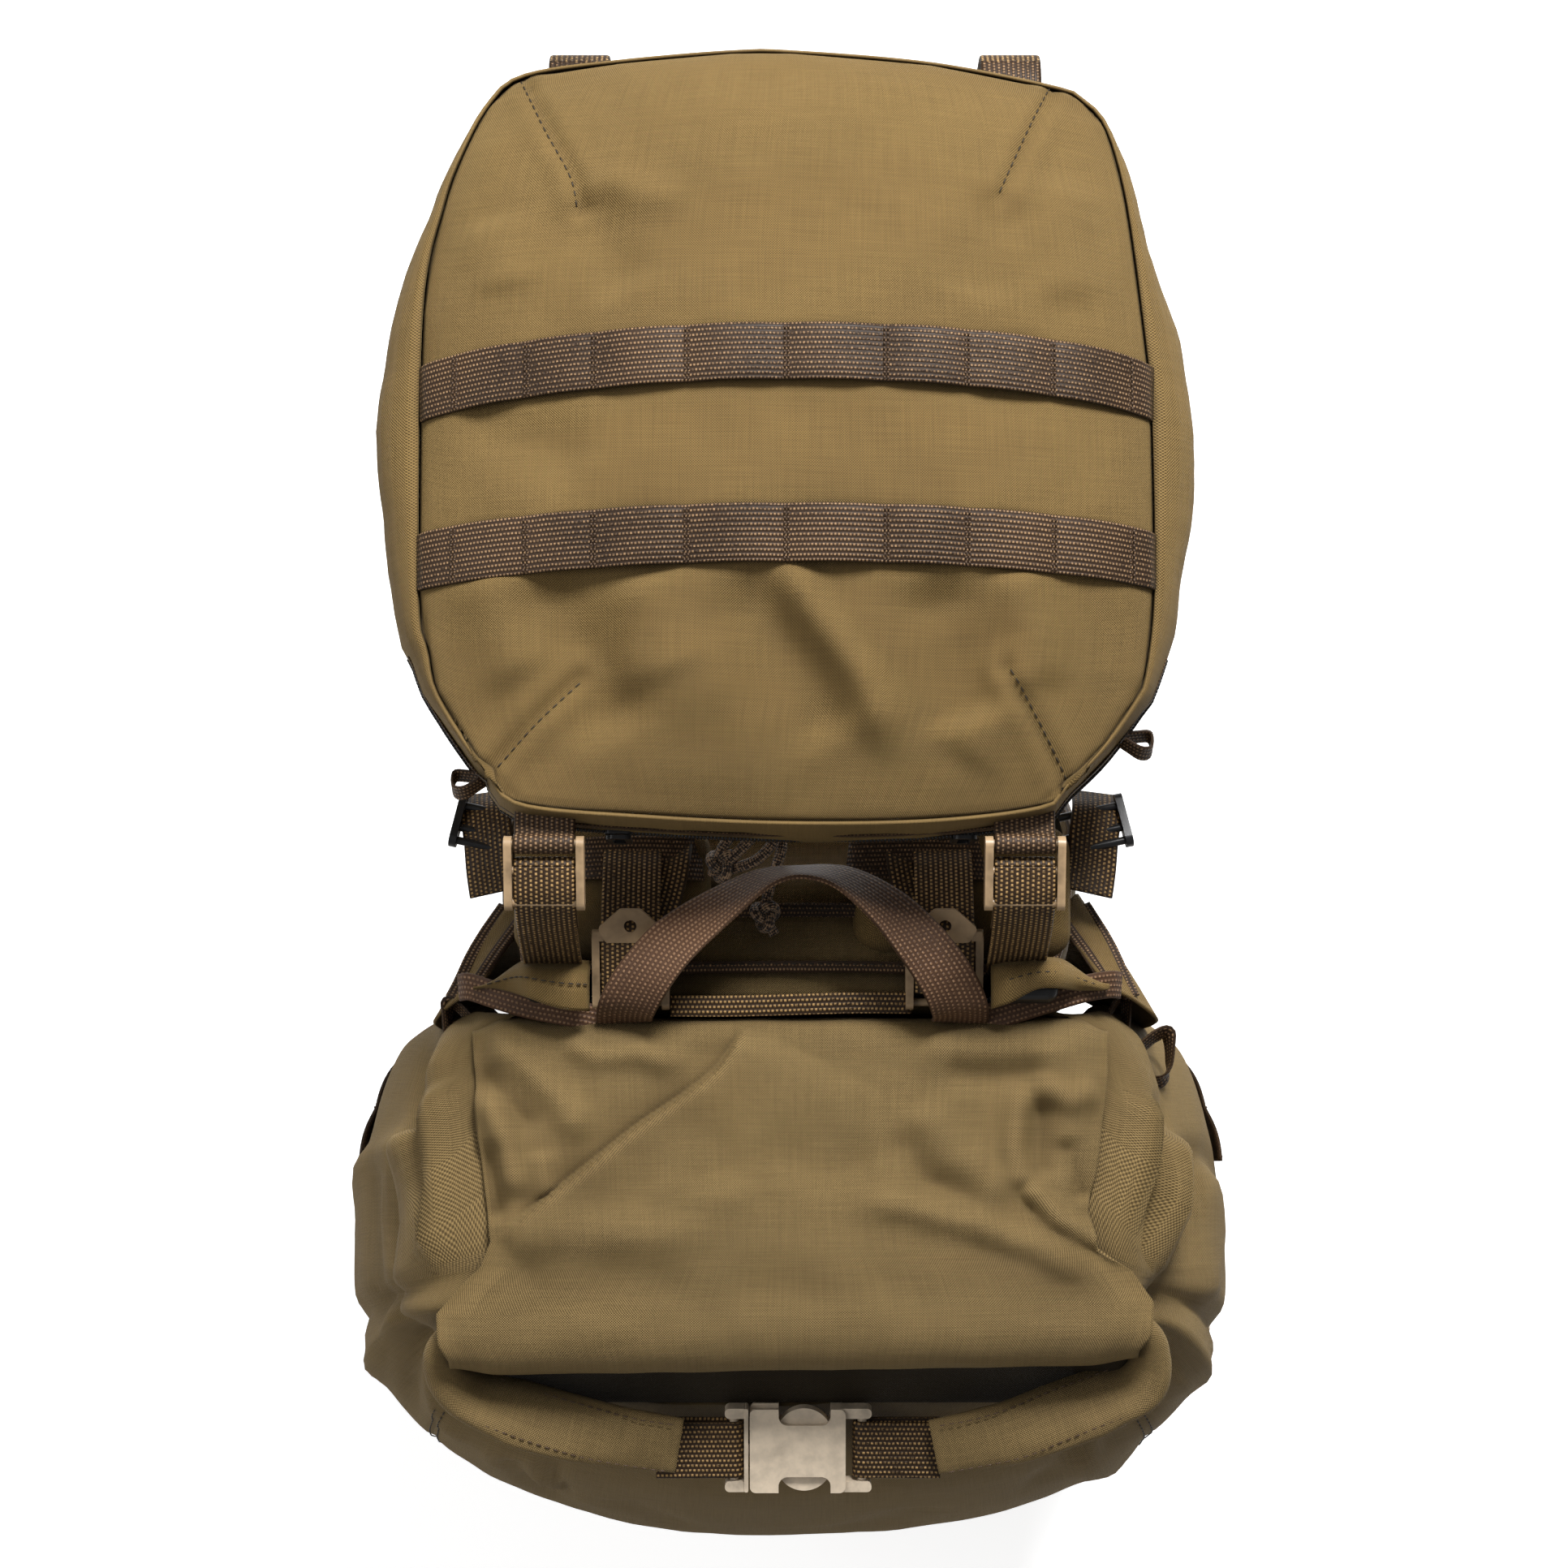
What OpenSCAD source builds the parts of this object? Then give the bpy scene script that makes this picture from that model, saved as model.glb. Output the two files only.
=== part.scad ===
// Hunting backpack: roll-top bag on an internal frame, with a hooded lid thrown back on its straps.
// Frame: +Z up, the wearer's side is +Y, the front is -Y. The origin is on the ground,
// on the centre line of the pack, under the flat base.

/* [Bag] */
// Height of the bag at the top of its back
body_h = 636; // [560:4:720]
// Greatest width of the filled bag
body_w = 402; // [370:2:430]
// Depth of the filled bag in front of the widest line
front_d = 130; // [115:1:140]
// Depth of the bag behind the widest line
rear_d = 109; // [100:1:115]
// How much lower the mouth is at the front than at the back
mouth_drop = 38; // [30:1:46]
// Wall of the coated fabric with its lining
wall = 3; // [2:0.5:4]

/* [Lid] */
// Width of the lid across its gusset
lid_w = 326; // [316:2:334]
// Length of the lid, from its strap edge to its buckle edge
lid_l = 314; // [304:2:322]
// Height of the lid's crown above its underside
lid_t = 90; // [80:1:96]

/* [Webbing] */
// Width of the main webbing
web_w = 25; // [20:1:26]
// Thickness of the main webbing
web_t = 1.8; // [1.4:0.1:2.2]

/* [Hidden] */

fabric = "#8a7146";
fabric_dark = "#6f5c3b";
webbing = "#4f3b2b";
tan_plastic = "#b5a389";
black_plastic = "#242424";
metal = "#9da0a3";

mid_y = 9;                    // the widest line of the bag
front_y = mid_y - front_d;    // front of the filled bag
back_y = mid_y + rear_d;      // flat back of the bag
gap = 0.5;                    // clearance between pieces that lie against each other
turn = 360;

// ---- shapes shared by several pieces ----

function power(v, p) = sign(v) * pow(abs(v), p);

// Catmull-Rom curve through points, with steps pieces between each two
function spline(p, steps = 5) = [
    for (i = [0:len(p) - 2], k = [0:steps - 1])
        let (a = p[max(i - 1, 0)], b = p[i], c = p[i + 1], d = p[min(i + 2, len(p) - 1)], t = k / steps)
        0.5 * (2 * b + (c - a) * t + (2 * a - 5 * b + 4 * c - d) * t * t
            + (3 * b - a - 3 * c + d) * t * t * t),
    p[len(p) - 1]];

function along(p, i) = let (d = p[min(i + 1, len(p) - 1)] - p[max(i - 1, 0)]) d / norm(d);

// Closed outline of a strip of thickness t along the path p
function strip(p, t) = concat(
    [for (i = [0:len(p) - 1]) p[i] + [-along(p, i)[1], along(p, i)[0]] * t / 2],
    [for (i = [len(p) - 1:-1:0]) p[i] - [-along(p, i)[1], along(p, i)[0]] * t / 2]);

// A strip whose path lies in the YZ plane, w wide along X
module strip_x(p, t, w) {
    rotate([90, 0, 90]) linear_extrude(w, center = true) polygon(strip(p, t));
}

// A strip whose path lies in the XZ plane, w wide along Y
module strip_y(p, t, w) {
    rotate([90, 0, 0]) linear_extrude(w, center = true) polygon(strip(p, t));
}

// Solid through a list of rings with equally many points; loop joins the last ring to the first
module skin(rings, loop = false) {
    n = len(rings[0]);
    m = len(rings);
    sides = [for (i = [0:m - (loop ? 1 : 2)], j = [0:n - 1])
        let (next = (j + 1) % n, row = (i + 1) % m * n,
            a = i * n + j, b = i * n + next, c = row + j, d = row + next)
        each [[a, c, b], [b, c, d]]];
    caps = loop ? [] : [[for (j = [0:n - 1]) j], [for (j = [n - 1:-1:0]) (m - 1) * n + j]];
    polyhedron([for (r = rings) each r], concat(sides, caps));
}

// Thin panel between two grids of points, outer and inner, both [row][column]
module sheet(outer, inner) {
    m = len(outer);
    n = len(outer[0]);
    all = m * n;
    function o(i, j) = i * n + j;
    function q(i, j) = all + i * n + j;
    front = [for (i = [0:m - 2], j = [0:n - 2]) each
        [[o(i, j), o(i + 1, j), o(i, j + 1)], [o(i, j + 1), o(i + 1, j), o(i + 1, j + 1)]]];
    back = [for (i = [0:m - 2], j = [0:n - 2]) each
        [[q(i, j), q(i, j + 1), q(i + 1, j)], [q(i, j + 1), q(i + 1, j + 1), q(i + 1, j)]]];
    first_and_last_row = [for (j = [0:n - 2]) each
        [[o(0, j), o(0, j + 1), q(0, j)], [q(0, j), o(0, j + 1), q(0, j + 1)],
        [o(m - 1, j), q(m - 1, j), o(m - 1, j + 1)], [q(m - 1, j), q(m - 1, j + 1), o(m - 1, j + 1)]]];
    first_and_last_column = [for (i = [0:m - 2]) each
        [[o(i, 0), q(i, 0), o(i + 1, 0)], [q(i, 0), q(i + 1, 0), o(i + 1, 0)],
        [o(i, n - 1), o(i + 1, n - 1), q(i, n - 1)], [q(i, n - 1), o(i + 1, n - 1), q(i + 1, n - 1)]]];
    faces = concat(front, back, first_and_last_row, first_and_last_column);
    polyhedron(concat([for (r = outer) each r], [for (r = inner) each r]), faces);
}

module rounded(size, r) {
    square([size[0] - 2 * r, size[1]], center = true);
    square([size[0], size[1] - 2 * r], center = true);
    for (sx = [-1, 1], sy = [-1, 1])
        translate([sx * (size[0] / 2 - r), sy * (size[1] / 2 - r)]) circle(r, $fn = 32);
}

module rounded_bar(size, r, h) {
    linear_extrude(h, center = true) rounded(size, r);
}

// Round bar of length h along X, centred
module rod_x(h, r, fn = 32) {
    rotate([0, 90, 0]) cylinder(h = h, r = r, center = true, $fn = fn);
}

// Round bar of length h along Y, centred
module rod_y(h, r, fn = 32) {
    rotate([90, 0, 0]) cylinder(h = h, r = r, center = true, $fn = fn);
}

// ---- bag ----

// Half width, front depth and rear depth of the filled bag, as shares of the greatest, by height share
bag_width = [[0, 0.69], [0.02, 0.77], [0.08, 0.88], [0.25, 0.955], [0.5, 0.985], [0.74, 1], [0.8, 0.985],
    [0.86, 0.94], [0.91, 0.87], [0.95, 0.79], [1, 0.70]];
bag_depth = [[0, 0.68], [0.02, 0.79], [0.08, 0.91], [0.25, 0.98], [0.45, 1], [0.64, 1], [0.72, 0.975],
    [0.79, 0.90], [0.84, 0.80], [0.87, 0.72], [0.905, 0.565], [0.935, 0.42], [1, 0.33]];
bag_rear = [[0, 0.84], [0.02, 0.93], [0.06, 1], [1, 1]];

function mouth_z(a) = body_h - mouth_drop * (1 - sin(a)) / 2;

// Point of the bag's surface at angle a (0 is +X, 90 the back) and height z, moved out by grow
function bag_point(a, z, grow = 0) =
    let (h = z / body_h, front = sin(a) < 0, n = front ? 2.35 : 2.9,
        rx = body_w / 2 * lookup(h, bag_width) + grow,
        ry = (front ? front_d * lookup(h, bag_depth) : rear_d * lookup(h, bag_rear)) + grow)
    [rx * power(cos(a), 2 / n), mid_y + ry * power(sin(a), 2 / n), z];

bag_rows = [0, 0.02, 0.05, 0.1, 0.25, 0.45, 0.66, 0.75, 0.81, 0.86, 0.9, 0.93, 0.96, 1];

function bag_grid(a0, a1, steps, grow) = [for (s = bag_rows) [for (k = [0:steps])
    let (a = a0 + (a1 - a0) * k / steps) bag_point(a, s * mouth_z(a), grow)]];

module bag_panel(a0, a1, steps) {
    sheet(bag_grid(a0, a1, steps, 0), bag_grid(a0, a1, steps, -wall));
}

front_a = 52;     // the front panel runs this far each side of the front's middle
rear_a = 42;      // the back panel runs this far each side of the back's middle
seam_a = 0.15;    // half of the seam between two panels, in degrees

module front_panel() { color(fabric) bag_panel(270 - front_a + seam_a, 270 + front_a - seam_a, 14); }
module side_panels() {
    color(fabric) bag_panel(90 + rear_a + seam_a, 270 - front_a - seam_a, 12);
    color(fabric) bag_panel(270 + front_a + seam_a - turn, 90 - rear_a - seam_a, 12);
}
module back_panel() { color(fabric) bag_panel(90 - rear_a + seam_a, 90 + rear_a - seam_a, 8); }
module base_panel() {
    color(fabric_dark) linear_extrude(5)
        polygon([for (k = [0:47]) let (p = bag_point(k * turn / 48, 0, -wall - gap)) [p[0], p[1]]]);
}

// ---- roll-top closure ----

collar_y = 107;       // where the collar leaves the back edge, and what it lifts about
collar_z = body_h + 7;
roll_y = -15;         // axis of the rolled hem
roll_z = 633;
roll_r = 15;
roll_half = 141;

module roll_collar() {
    color(fabric) {
        strip_x(spline([[collar_y, collar_z], [70, 648], [25, 645], [roll_y + roll_r + 3, 640]], 4), 7, 272);
        translate([0, collar_y, collar_z]) rod_x(272, 3.5);
    }
}

module roll_hem() {
    color(fabric) translate([0, roll_y, roll_z]) difference() {
        rod_x(2 * roll_half, roll_r, 48);
        rod_x(2 * roll_half + 2, roll_r - 7, 48);
    }
}

// The flaps fold down in front of the hem and run back to the buckle, lying over its webbing
buckle_c = [3, -65.5, 597];    // middle of the joined buckle
buckle_tilt = 14;              // the buckle leans forward with the bag's shoulder
flap_out = [128, -58, 616];
flap_in = [49, -67, 607];
flap_t = 8;

module roll_flap() {
    run = flap_out - flap_in;
    length = norm(run);
    outline = [[0, -15], [6, -17], [length, -19], [length, 17.5], [6, 16], [0, 14]];
    translate(flap_in) rotate([buckle_tilt, 0, 0]) rotate([0, -asin(run[2] / length), atan2(run[1], run[0])])
        linear_extrude(flap_t, center = true) polygon(outline);
}

// Cloth between the end of the hem and the flap that comes from it
module roll_turn() {
    translate([flap_out[0] + 1, -36, 621]) cube([18, 13, 8], center = true);
}

module roll_flaps() {
    color(fabric) for (m = [0, 1]) mirror([m, 0, 0]) {
        roll_flap();
        roll_turn();
    }
}

// Side-release buckle for 25 mm webbing, joined, with its length along X; the male half enters from -X
plate_x = [-20.4, 20];
buckle_w = 36.4;
buckle_h = 10.5;
cavity_h = 6.2;
ear_x = 31;
ear_w = 4.4;

// Two ears that hold a webbing bar; root is how far from the middle the ears begin
module buckle_ears(root = plate_x[1] - 4) {
    for (s = [-1, 1]) translate([(root + ear_x) / 2, s * (buckle_w / 2 - ear_w / 2), 0])
        rounded_bar([ear_x - root, ear_w], 2, 8);
    translate([ear_x - 4, 0, 0]) rod_y(buckle_w - 2 * ear_w + 1, 1.9, 24);
}

module female_half() {
    difference() {
        translate([(plate_x[0] + plate_x[1]) / 2, 0, 0])
            rounded_bar([plate_x[1] - plate_x[0], buckle_w], 2.5, buckle_h);
        // pocket for the male half, open towards -X, with side cut-outs for the two arms
        translate([-6, 0, 0]) cube([44, buckle_w - 8, cavity_h], center = true);
        translate([-16, 0, 0]) cube([17, buckle_w + 2, cavity_h], center = true);
        for (s = [-1, 1])
            translate([2.7, s * (buckle_w / 2 + 1), 0]) rounded_bar([22, 16], 4, buckle_h + 1);
    }
    buckle_ears();
}

module male_base() {
    mirror([1, 0, 0]) buckle_ears(21.1);
    translate([-21.975, 0, 0]) rounded_bar([1.75, buckle_w], 0.8, 9);
    translate([-22 + 14, 0, 0]) cube([28, 4.6, 5], center = true);
}

arm_root = [-20.8, 10.5];
arm_play = 0.15;

// One springy arm with its rounded button, on the +Y side
module male_arm() {
    linear_extrude(5.4, center = true) {
        polygon([arm_root + [arm_play, -2], [-6, 9], [8, 10], [8, 13], [-6, 12.5],
            arm_root + [arm_play, 2]]);
        intersection() {
            translate([2.5, 6.2]) circle(11.8, $fn = 64);
            translate([-8.3, 10]) square([21.6, 10]);
        }
    }
}

module male_half() {
    male_base();
    for (s = [0, 1]) mirror([0, s, 0]) {
        male_arm();
        translate([-21, arm_root[1], 0]) cube([1.6, 4, 5.4], center = true);
    }
}

module at_roll_buckle() { translate(buckle_c) rotate([buckle_tilt, 0, 0]) children(); }

module roll_buckle_female() { color(tan_plastic) at_roll_buckle() female_half(); }
module roll_buckle_male() { color(tan_plastic) at_roll_buckle() male_base(); }
module roll_buckle_arm_front() { color(tan_plastic) at_roll_buckle() mirror([0, 1, 0]) male_arm(); }
module roll_buckle_arm_rear() { color(tan_plastic) at_roll_buckle() male_arm(); }

// Webbing folded round the bar of a buckle half whose bar is at x = bar, running out to x = far
module folded_web(bar, far, w = web_w) {
    out = far > bar ? 1 : -1;
    r = 3.2;
    for (s = [-1, 1])
        translate([(bar + far) / 2, 0, s * r]) cube([abs(far - bar), w, web_t], center = true);
    translate([bar, 0, 0]) intersection() {
        difference() {
            rod_y(w, r + web_t / 2);
            rod_y(w + 1, r - web_t / 2);
        }
        translate([-out * 10, 0, 0]) cube([20, w + 2, 20], center = true);
    }
}

module roll_web_right() { color(webbing) at_roll_buckle() folded_web(ear_x - 4, 60); }
module roll_web_left() { color(webbing) at_roll_buckle() folded_web(4 - ear_x, -60); }

// ---- frame and back ----

sheet_y = back_y + gap;
stay_x = 98;
stay_y = 125;
stay_size = [20, 4];
pocket_y = 128.2;
pad_y = 130.8;
pad_t = 16;

module mouth_binding() { color(webbing) translate([-136, 112.8, body_h + 0.6]) cube([272, 6, 1.8]); }
module frame_sheet() { color(black_plastic) translate([-112, sheet_y, 36]) cube([224, 1.8, 580]); }

module frame_stays() {
    color(metal) for (s = [-1, 1]) translate([s * stay_x - stay_size[0] / 2, stay_y - stay_size[1] / 2, 34])
        cube([stay_size[0], stay_size[1], body_h + 8 - 34]);
}

module stay_caps() {
    color(black_plastic) for (s = [-1, 1]) translate([s * stay_x, stay_y, body_h + 5]) difference() {
        hull() for (e = [-1, 1]) {
            translate([e * 7.1, 0, 12]) sphere(5.3, $fn = 32);
            translate([e * 7.1, 0, 0]) cylinder(h = 1, r = 5.3, $fn = 32);
        }
        translate([0, 0, 1]) cube([stay_size[0] + 0.3, stay_size[1] + 0.3, 5], center = true);
    }
}

module frame_pocket() {
    color(fabric) difference() {
        translate([-122, sheet_y + 2, 24]) cube([244, pocket_y + 2 - sheet_y - 2, body_h + 2 - 24]);
        translate([-120, sheet_y + 1, 30]) cube([240, pocket_y - sheet_y - 1, body_h]);
    }
}

// Two long pads beside the spine and a wide one at the small of the back
module back_pads() {
    color(fabric_dark) translate([0, pad_y + pad_t / 2, 0]) rotate([90, 0, 0]) {
        for (s = [-1, 1]) translate([s * 68, 425, 0]) rounded_bar([92, 330], 22, pad_t);
        translate([0, 138, 0]) rounded_bar([190, 160], 30, pad_t);
    }
}

// Hook-and-loop strip that closes the mouth of the frame pocket
module hook_strip() { color(webbing) translate([-48, 120.6, body_h - 27]) cube([96, 1.4, 25]); }

yoke_y = [149, 181];
module yoke_pads() {
    color(fabric) for (x = [[-126, -42], [32, 122]])
        translate([(x[0] + x[1]) / 2, (yoke_y[0] + yoke_y[1]) / 2, 628])
            rounded_bar([x[1] - x[0], yoke_y[1] - yoke_y[0]], 8, 12);
}

// ---- shoulder harness ----

strap_t = 13;
// Middle of the strap seen from the side, in YZ, from the yoke down to its webbing
strap_path = spline([[155, 566], [157, 580], [170, 598], [192, 600], [212, 582], [222, 545], [221, 480],
    [211, 420], [197, 360], [184, 322]], 3);
// Outline of the strap seen from behind, in XZ
strap_outline = [[34, 620], [34, 560], [48, 500], [68, 430], [82, 350], [88, 312], [136, 312],
    [138, 380], [134, 450], [122, 520], [108, 575], [106, 620]];

module shoulder_strap(side) {
    mirror([side < 0 ? 1 : 0, 0, 0]) intersection() {
        translate([80, 0, 0]) strip_x(strap_path, strap_t, 120);
        translate([0, 300, 0]) rotate([90, 0, 0]) linear_extrude(200) polygon(strap_outline);
    }
}

module shoulder_strap_left() { color(fabric) shoulder_strap(-1); }
module shoulder_strap_right() { color(fabric) shoulder_strap(1); }

// Three-bar ladderlock, its length along Y, its pull end at +Y
ladder_w = 32;
module ladder_frame(length = 30) {
    for (s = [-1, 1])
        translate([s * (ladder_w / 2 - 1.6), 0, 0]) rotate([0, 90, 0]) rounded_bar([8, length], 3.4, 3.2);
    for (y = [-length / 2 + 3, -3, 7]) translate([0, y, 0]) rod_x(ladder_w - 4, 1.7, 24);
}

module at_strap_end(side) { translate([side * 112, 178.5, 300]) rotate([102, 0, 0]) children(); }
module strap_ladderlock_left() { color(black_plastic) at_strap_end(-1) ladder_frame(); }
module strap_ladderlock_right() { color(black_plastic) at_strap_end(1) ladder_frame(); }

module shoulder_webs() {
    color(webbing) for (s = [-1, 1]) translate([s * 112, 0, 0])
        strip_x(spline([[171, 280], [159, 240], [147, 190], [137, 146], [133, 118]], 3), web_t, web_w);
}

// The sternum strap hangs open: each half has a slide on the shoulder strap, webbing and half a buckle
sternum_y = 232;
sternum_z = 470;
module sternum_half() {
    translate([84, sternum_y - 1, sternum_z]) rotate([90, 0, 0]) difference() {
        rounded_bar([26, 24], 4, 4);
        rounded_bar([17, 14], 2, 5);
    }
    translate([52, sternum_y, sternum_z]) cube([40, 1.6, 19], center = true);
}

module sternum_left() {
    color(black_plastic) mirror([1, 0, 0]) {
        sternum_half();
        translate([27, sternum_y, sternum_z]) rotate([90, 0, 0]) rounded_bar([26, 26], 5, 8);
    }
}

module sternum_right() {
    color(black_plastic) {
        sternum_half();
        translate([29, sternum_y, sternum_z]) rotate([90, 0, 0]) rounded_bar([18, 26], 4, 7.2);
        for (s = [-1, 1]) translate([14, sternum_y, sternum_z + s * 8]) cube([16, 4, 3], center = true);
    }
}

// ---- load lifters ----

lifter_x = [-66.5, 63.5];
lifter_pivot = [120.5, 643.5];   // the ladderlock tilts about its front bar, in YZ
lifter_tilt = 18;

module tabbed_ladderlock() {
    ladder_frame(34);
    difference() {
        hull() for (p = [[-9, 14.5], [9, 14.5], [11, 18], [3.5, 24.5], [-3.5, 24.5], [-11, 18]])
            translate([p[0], p[1], 3.2]) cylinder(h = 3, r = 2, center = true, $fn = 24);
        translate([0, 19.5, 3.2]) cylinder(h = 10, r = 2.6, center = true, $fn = 48);
    }
    translate([0, 15, 2.2]) cube([ladder_w - 1, 4, 4], center = true);
}

module at_lifter(i) {
    translate([lifter_x[i], lifter_pivot[0], lifter_pivot[1]]) rotate([lifter_tilt, 0, 0])
        translate([0, 14, 0]) children();
}
module lifter_ladderlock_left() { color(tan_plastic) at_lifter(0) tabbed_ladderlock(); }
module lifter_ladderlock_right() { color(tan_plastic) at_lifter(1) tabbed_ladderlock(); }

module at_stabiliser(side) { translate([side * 128, 196.5, 618]) rotate([-15, 0, side * 12]) children(); }
module stabiliser_ladderlocks() {
    color(black_plastic) for (s = [-1, 1]) at_stabiliser(s) ladder_frame(24);
}

module load_lifter_webs() {
    color(webbing) {
        for (x = lifter_x) translate([x, 0, 0])
            strip_x(spline([[161, 651], [169, 647], [180, 639.5], [192, 627], [204, 609]], 3), web_t, web_w);
        for (s = [-1, 1]) at_stabiliser(s) translate([0, 0, -6])
            strip_x(spline([[-22, -2], [-10, 0], [4, 0], [14, -6]], 3), web_t, web_w - 3);
    }
}

// ---- hip belt ----

hip_path = spline([[118, 141], [146, 156], [162, 190], [163, 238], [146, 282], [120, 306]], 4);
hip_h = 104;
wing_t = 13;

module hip_wing() {
    intersection() {
        linear_extrude(hip_h) {
            polygon(strip(hip_path, wing_t));
            translate(hip_path[0]) circle(wing_t / 2, $fn = 32);
        }
        translate([0, 200, hip_h / 2]) rotate([90, 0, 90]) linear_extrude(400, center = true) {
            translate([-45, 0]) square([90, hip_h], center = true);
            hull() {
                translate([20, 0]) square([20, hip_h], center = true);
                for (s = [-1, 1]) translate([94, s * 20]) circle(16, $fn = 32);
                translate([-2, 0]) square([10, hip_h], center = true);
            }
        }
    }
}

module hip_wing_left() { color(fabric_dark) mirror([1, 0, 0]) hip_wing(); }
module hip_wing_right() { color(fabric_dark) hip_wing(); }

hip_web_w = 38;
hip_bar = 80;               // where each half of the buckle hangs on its webbing
hip_web_path = spline([[110.5, 311.5], [100, 318], [88, 323], [hip_bar, 323.5]], 4);
module hip_web() {
    translate([0, 0, hip_h / 2 - hip_web_w / 2]) linear_extrude(hip_web_w)
        polygon(strip(hip_web_path, web_t));
}
module hip_web_left() { color(webbing) mirror([1, 0, 0]) hip_web(); }
module hip_web_right() { color(webbing) hip_web(); }

hip_scale = 1.42;
module at_hip_buckle(side) {
    translate([side * hip_bar, 330, hip_h / 2]) rotate([90, 0, 180]) scale(hip_scale)
        translate([side * (ear_x - 4), 0, 0]) mirror([1, 0, 0]) children();
}
module hip_buckle_female() { color(black_plastic) at_hip_buckle(1) female_half(); }
module hip_buckle_male() { color(black_plastic) at_hip_buckle(-1) male_half(); }

// ---- lid ----

lid_y = 349;           // middle of the lid
lid_base = 655;
lid_low = lid_base + 14;     // height of the seam between underside and gusset
lid_side = lid_base + 45;    // height of the gusset's widest line
lid_seam = lid_base + 59;    // height of the seam between gusset and top panel
lid_top = lid_base + lid_t;

// Ring of the lid's outline at height z, drawn in by inset
function lid_ring(z, inset, n = 2.8) = [for (k = [0:39]) let (a = k * turn / 40)
    [(lid_w / 2 - inset) * power(cos(a), 2 / n), lid_y + (lid_l / 2 - inset) * power(sin(a), 2 / n), z]];

module lid_top_panel() {
    color(fabric) skin([
        lid_ring(lid_top - wall, 120), lid_ring(lid_top - 9 - wall, 66), lid_ring(lid_seam + 8, 28),
        lid_ring(lid_seam + gap, 21), lid_ring(lid_seam + gap, 17), lid_ring(lid_seam + 12, 26),
        lid_ring(lid_top - 9, 62), lid_ring(lid_top, 120)]);
}

module lid_gusset() {
    color(fabric) skin([
        lid_ring(lid_low, 8), lid_ring(lid_low + 14, 1), lid_ring(lid_side, 0), lid_ring(lid_seam, 17),
        lid_ring(lid_seam, 20), lid_ring(lid_side, 3), lid_ring(lid_low + 14, 4), lid_ring(lid_low, 11)],
        loop = true);
}

module lid_underside() {
    color(fabric_dark) skin([lid_ring(lid_base, 50), lid_ring(lid_base + 4, 22), lid_ring(lid_low - gap, 8),
        lid_ring(lid_low - gap, 12), lid_ring(lid_base + 7, 24), lid_ring(lid_base + wall, 50)]);
}

pals_y = [380, 304];          // middles of the two webbing ladders
module lid_pals() {
    rise = lid_top + 1;
    color(webbing) for (y = pals_y) translate([0, y, 0])
        strip_y(spline([[-138, rise - 18], [-100, rise - 6.5], [-50, rise + 1.6], [0, rise + 2],
            [50, rise + 1.6], [100, rise - 6.5], [138, rise - 18]], 4), web_t, web_w);
}

zip_z = 688;
zip_y = lid_y - lid_l / 2 - 1;
module lid_zip_track() {
    color(black_plastic) translate([0, zip_y - 0.8, zip_z]) cube([160, 1.6, 9], center = true);
}
module zip_slider() {
    translate([0, -3.6, 0]) rotate([90, 0, 0]) rounded_bar([11, 8], 2, 3);
    translate([0, -6.4, -8]) rotate([90, 0, 0]) difference() {
        rounded_bar([10, 22], 3, 1.6);
        rounded_bar([5, 15], 1.5, 3);
    }
}
module at_slider(side) { translate([side * 70, zip_y, zip_z]) children(); }
module lid_zip_slider_left() { color(webbing) at_slider(-1) zip_slider(); }
module lid_zip_slider_right() { color(webbing) at_slider(1) zip_slider(); }

// The lid turns on one bar of each of its two rear ladderlocks
lid_strap_x = [-98.5, 93];
lid_pivot = [180, 708];
lid_lock_tilt = 18;
bar_r = 1.8;
module at_lid_pivot(x) { translate([x, lid_pivot[0], lid_pivot[1]]) children(); }

module lid_rear_buckles() {
    color(tan_plastic) for (x = lid_strap_x) at_lid_pivot(x) rotate([lid_lock_tilt, 0, 0]) {
        for (s = [-1, 1])
            translate([s * (ladder_w / 2 - 1.6), -12, 0]) rotate([0, 90, 0]) rounded_bar([8, 30], 3.4, 3.2);
        for (y = [-24, -11, 0]) translate([0, y, 0]) rod_x(ladder_w - 4, bar_r);
    }
}

// Webbing from the lid's edge, looped round the pivot bar
module lid_edge_webs() {
    r = bar_r + 0.5;
    color(webbing) for (x = lid_strap_x) at_lid_pivot(x) difference() {
        union() {
            rod_x(web_w, r + web_t);
            translate([0, 10.5, -r - web_t / 2]) cube([web_w, 21, web_t], center = true);
        }
        rod_x(web_w + 1, r);
    }
}

module lid_rear_straps() {
    color(webbing) for (x = lid_strap_x) translate([x, 0, 0])
        strip_x(spline([[134, 641], [136, 655], [141, 674], [148, 688], [154, 695.5]], 3), web_t, web_w);
}

// Webbing that hangs from the lid's far edge, with the male half of a buckle at its end
lid_front_x = [-88, 91];
lid_front_pivot = [506, 690];
lid_front_bar = [2.9, -48];    // the buckle's bar, from the pivot, in YZ
module at_lid_front(i) { translate([lid_front_x[i], lid_front_pivot[0], lid_front_pivot[1]]) children(); }

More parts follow.
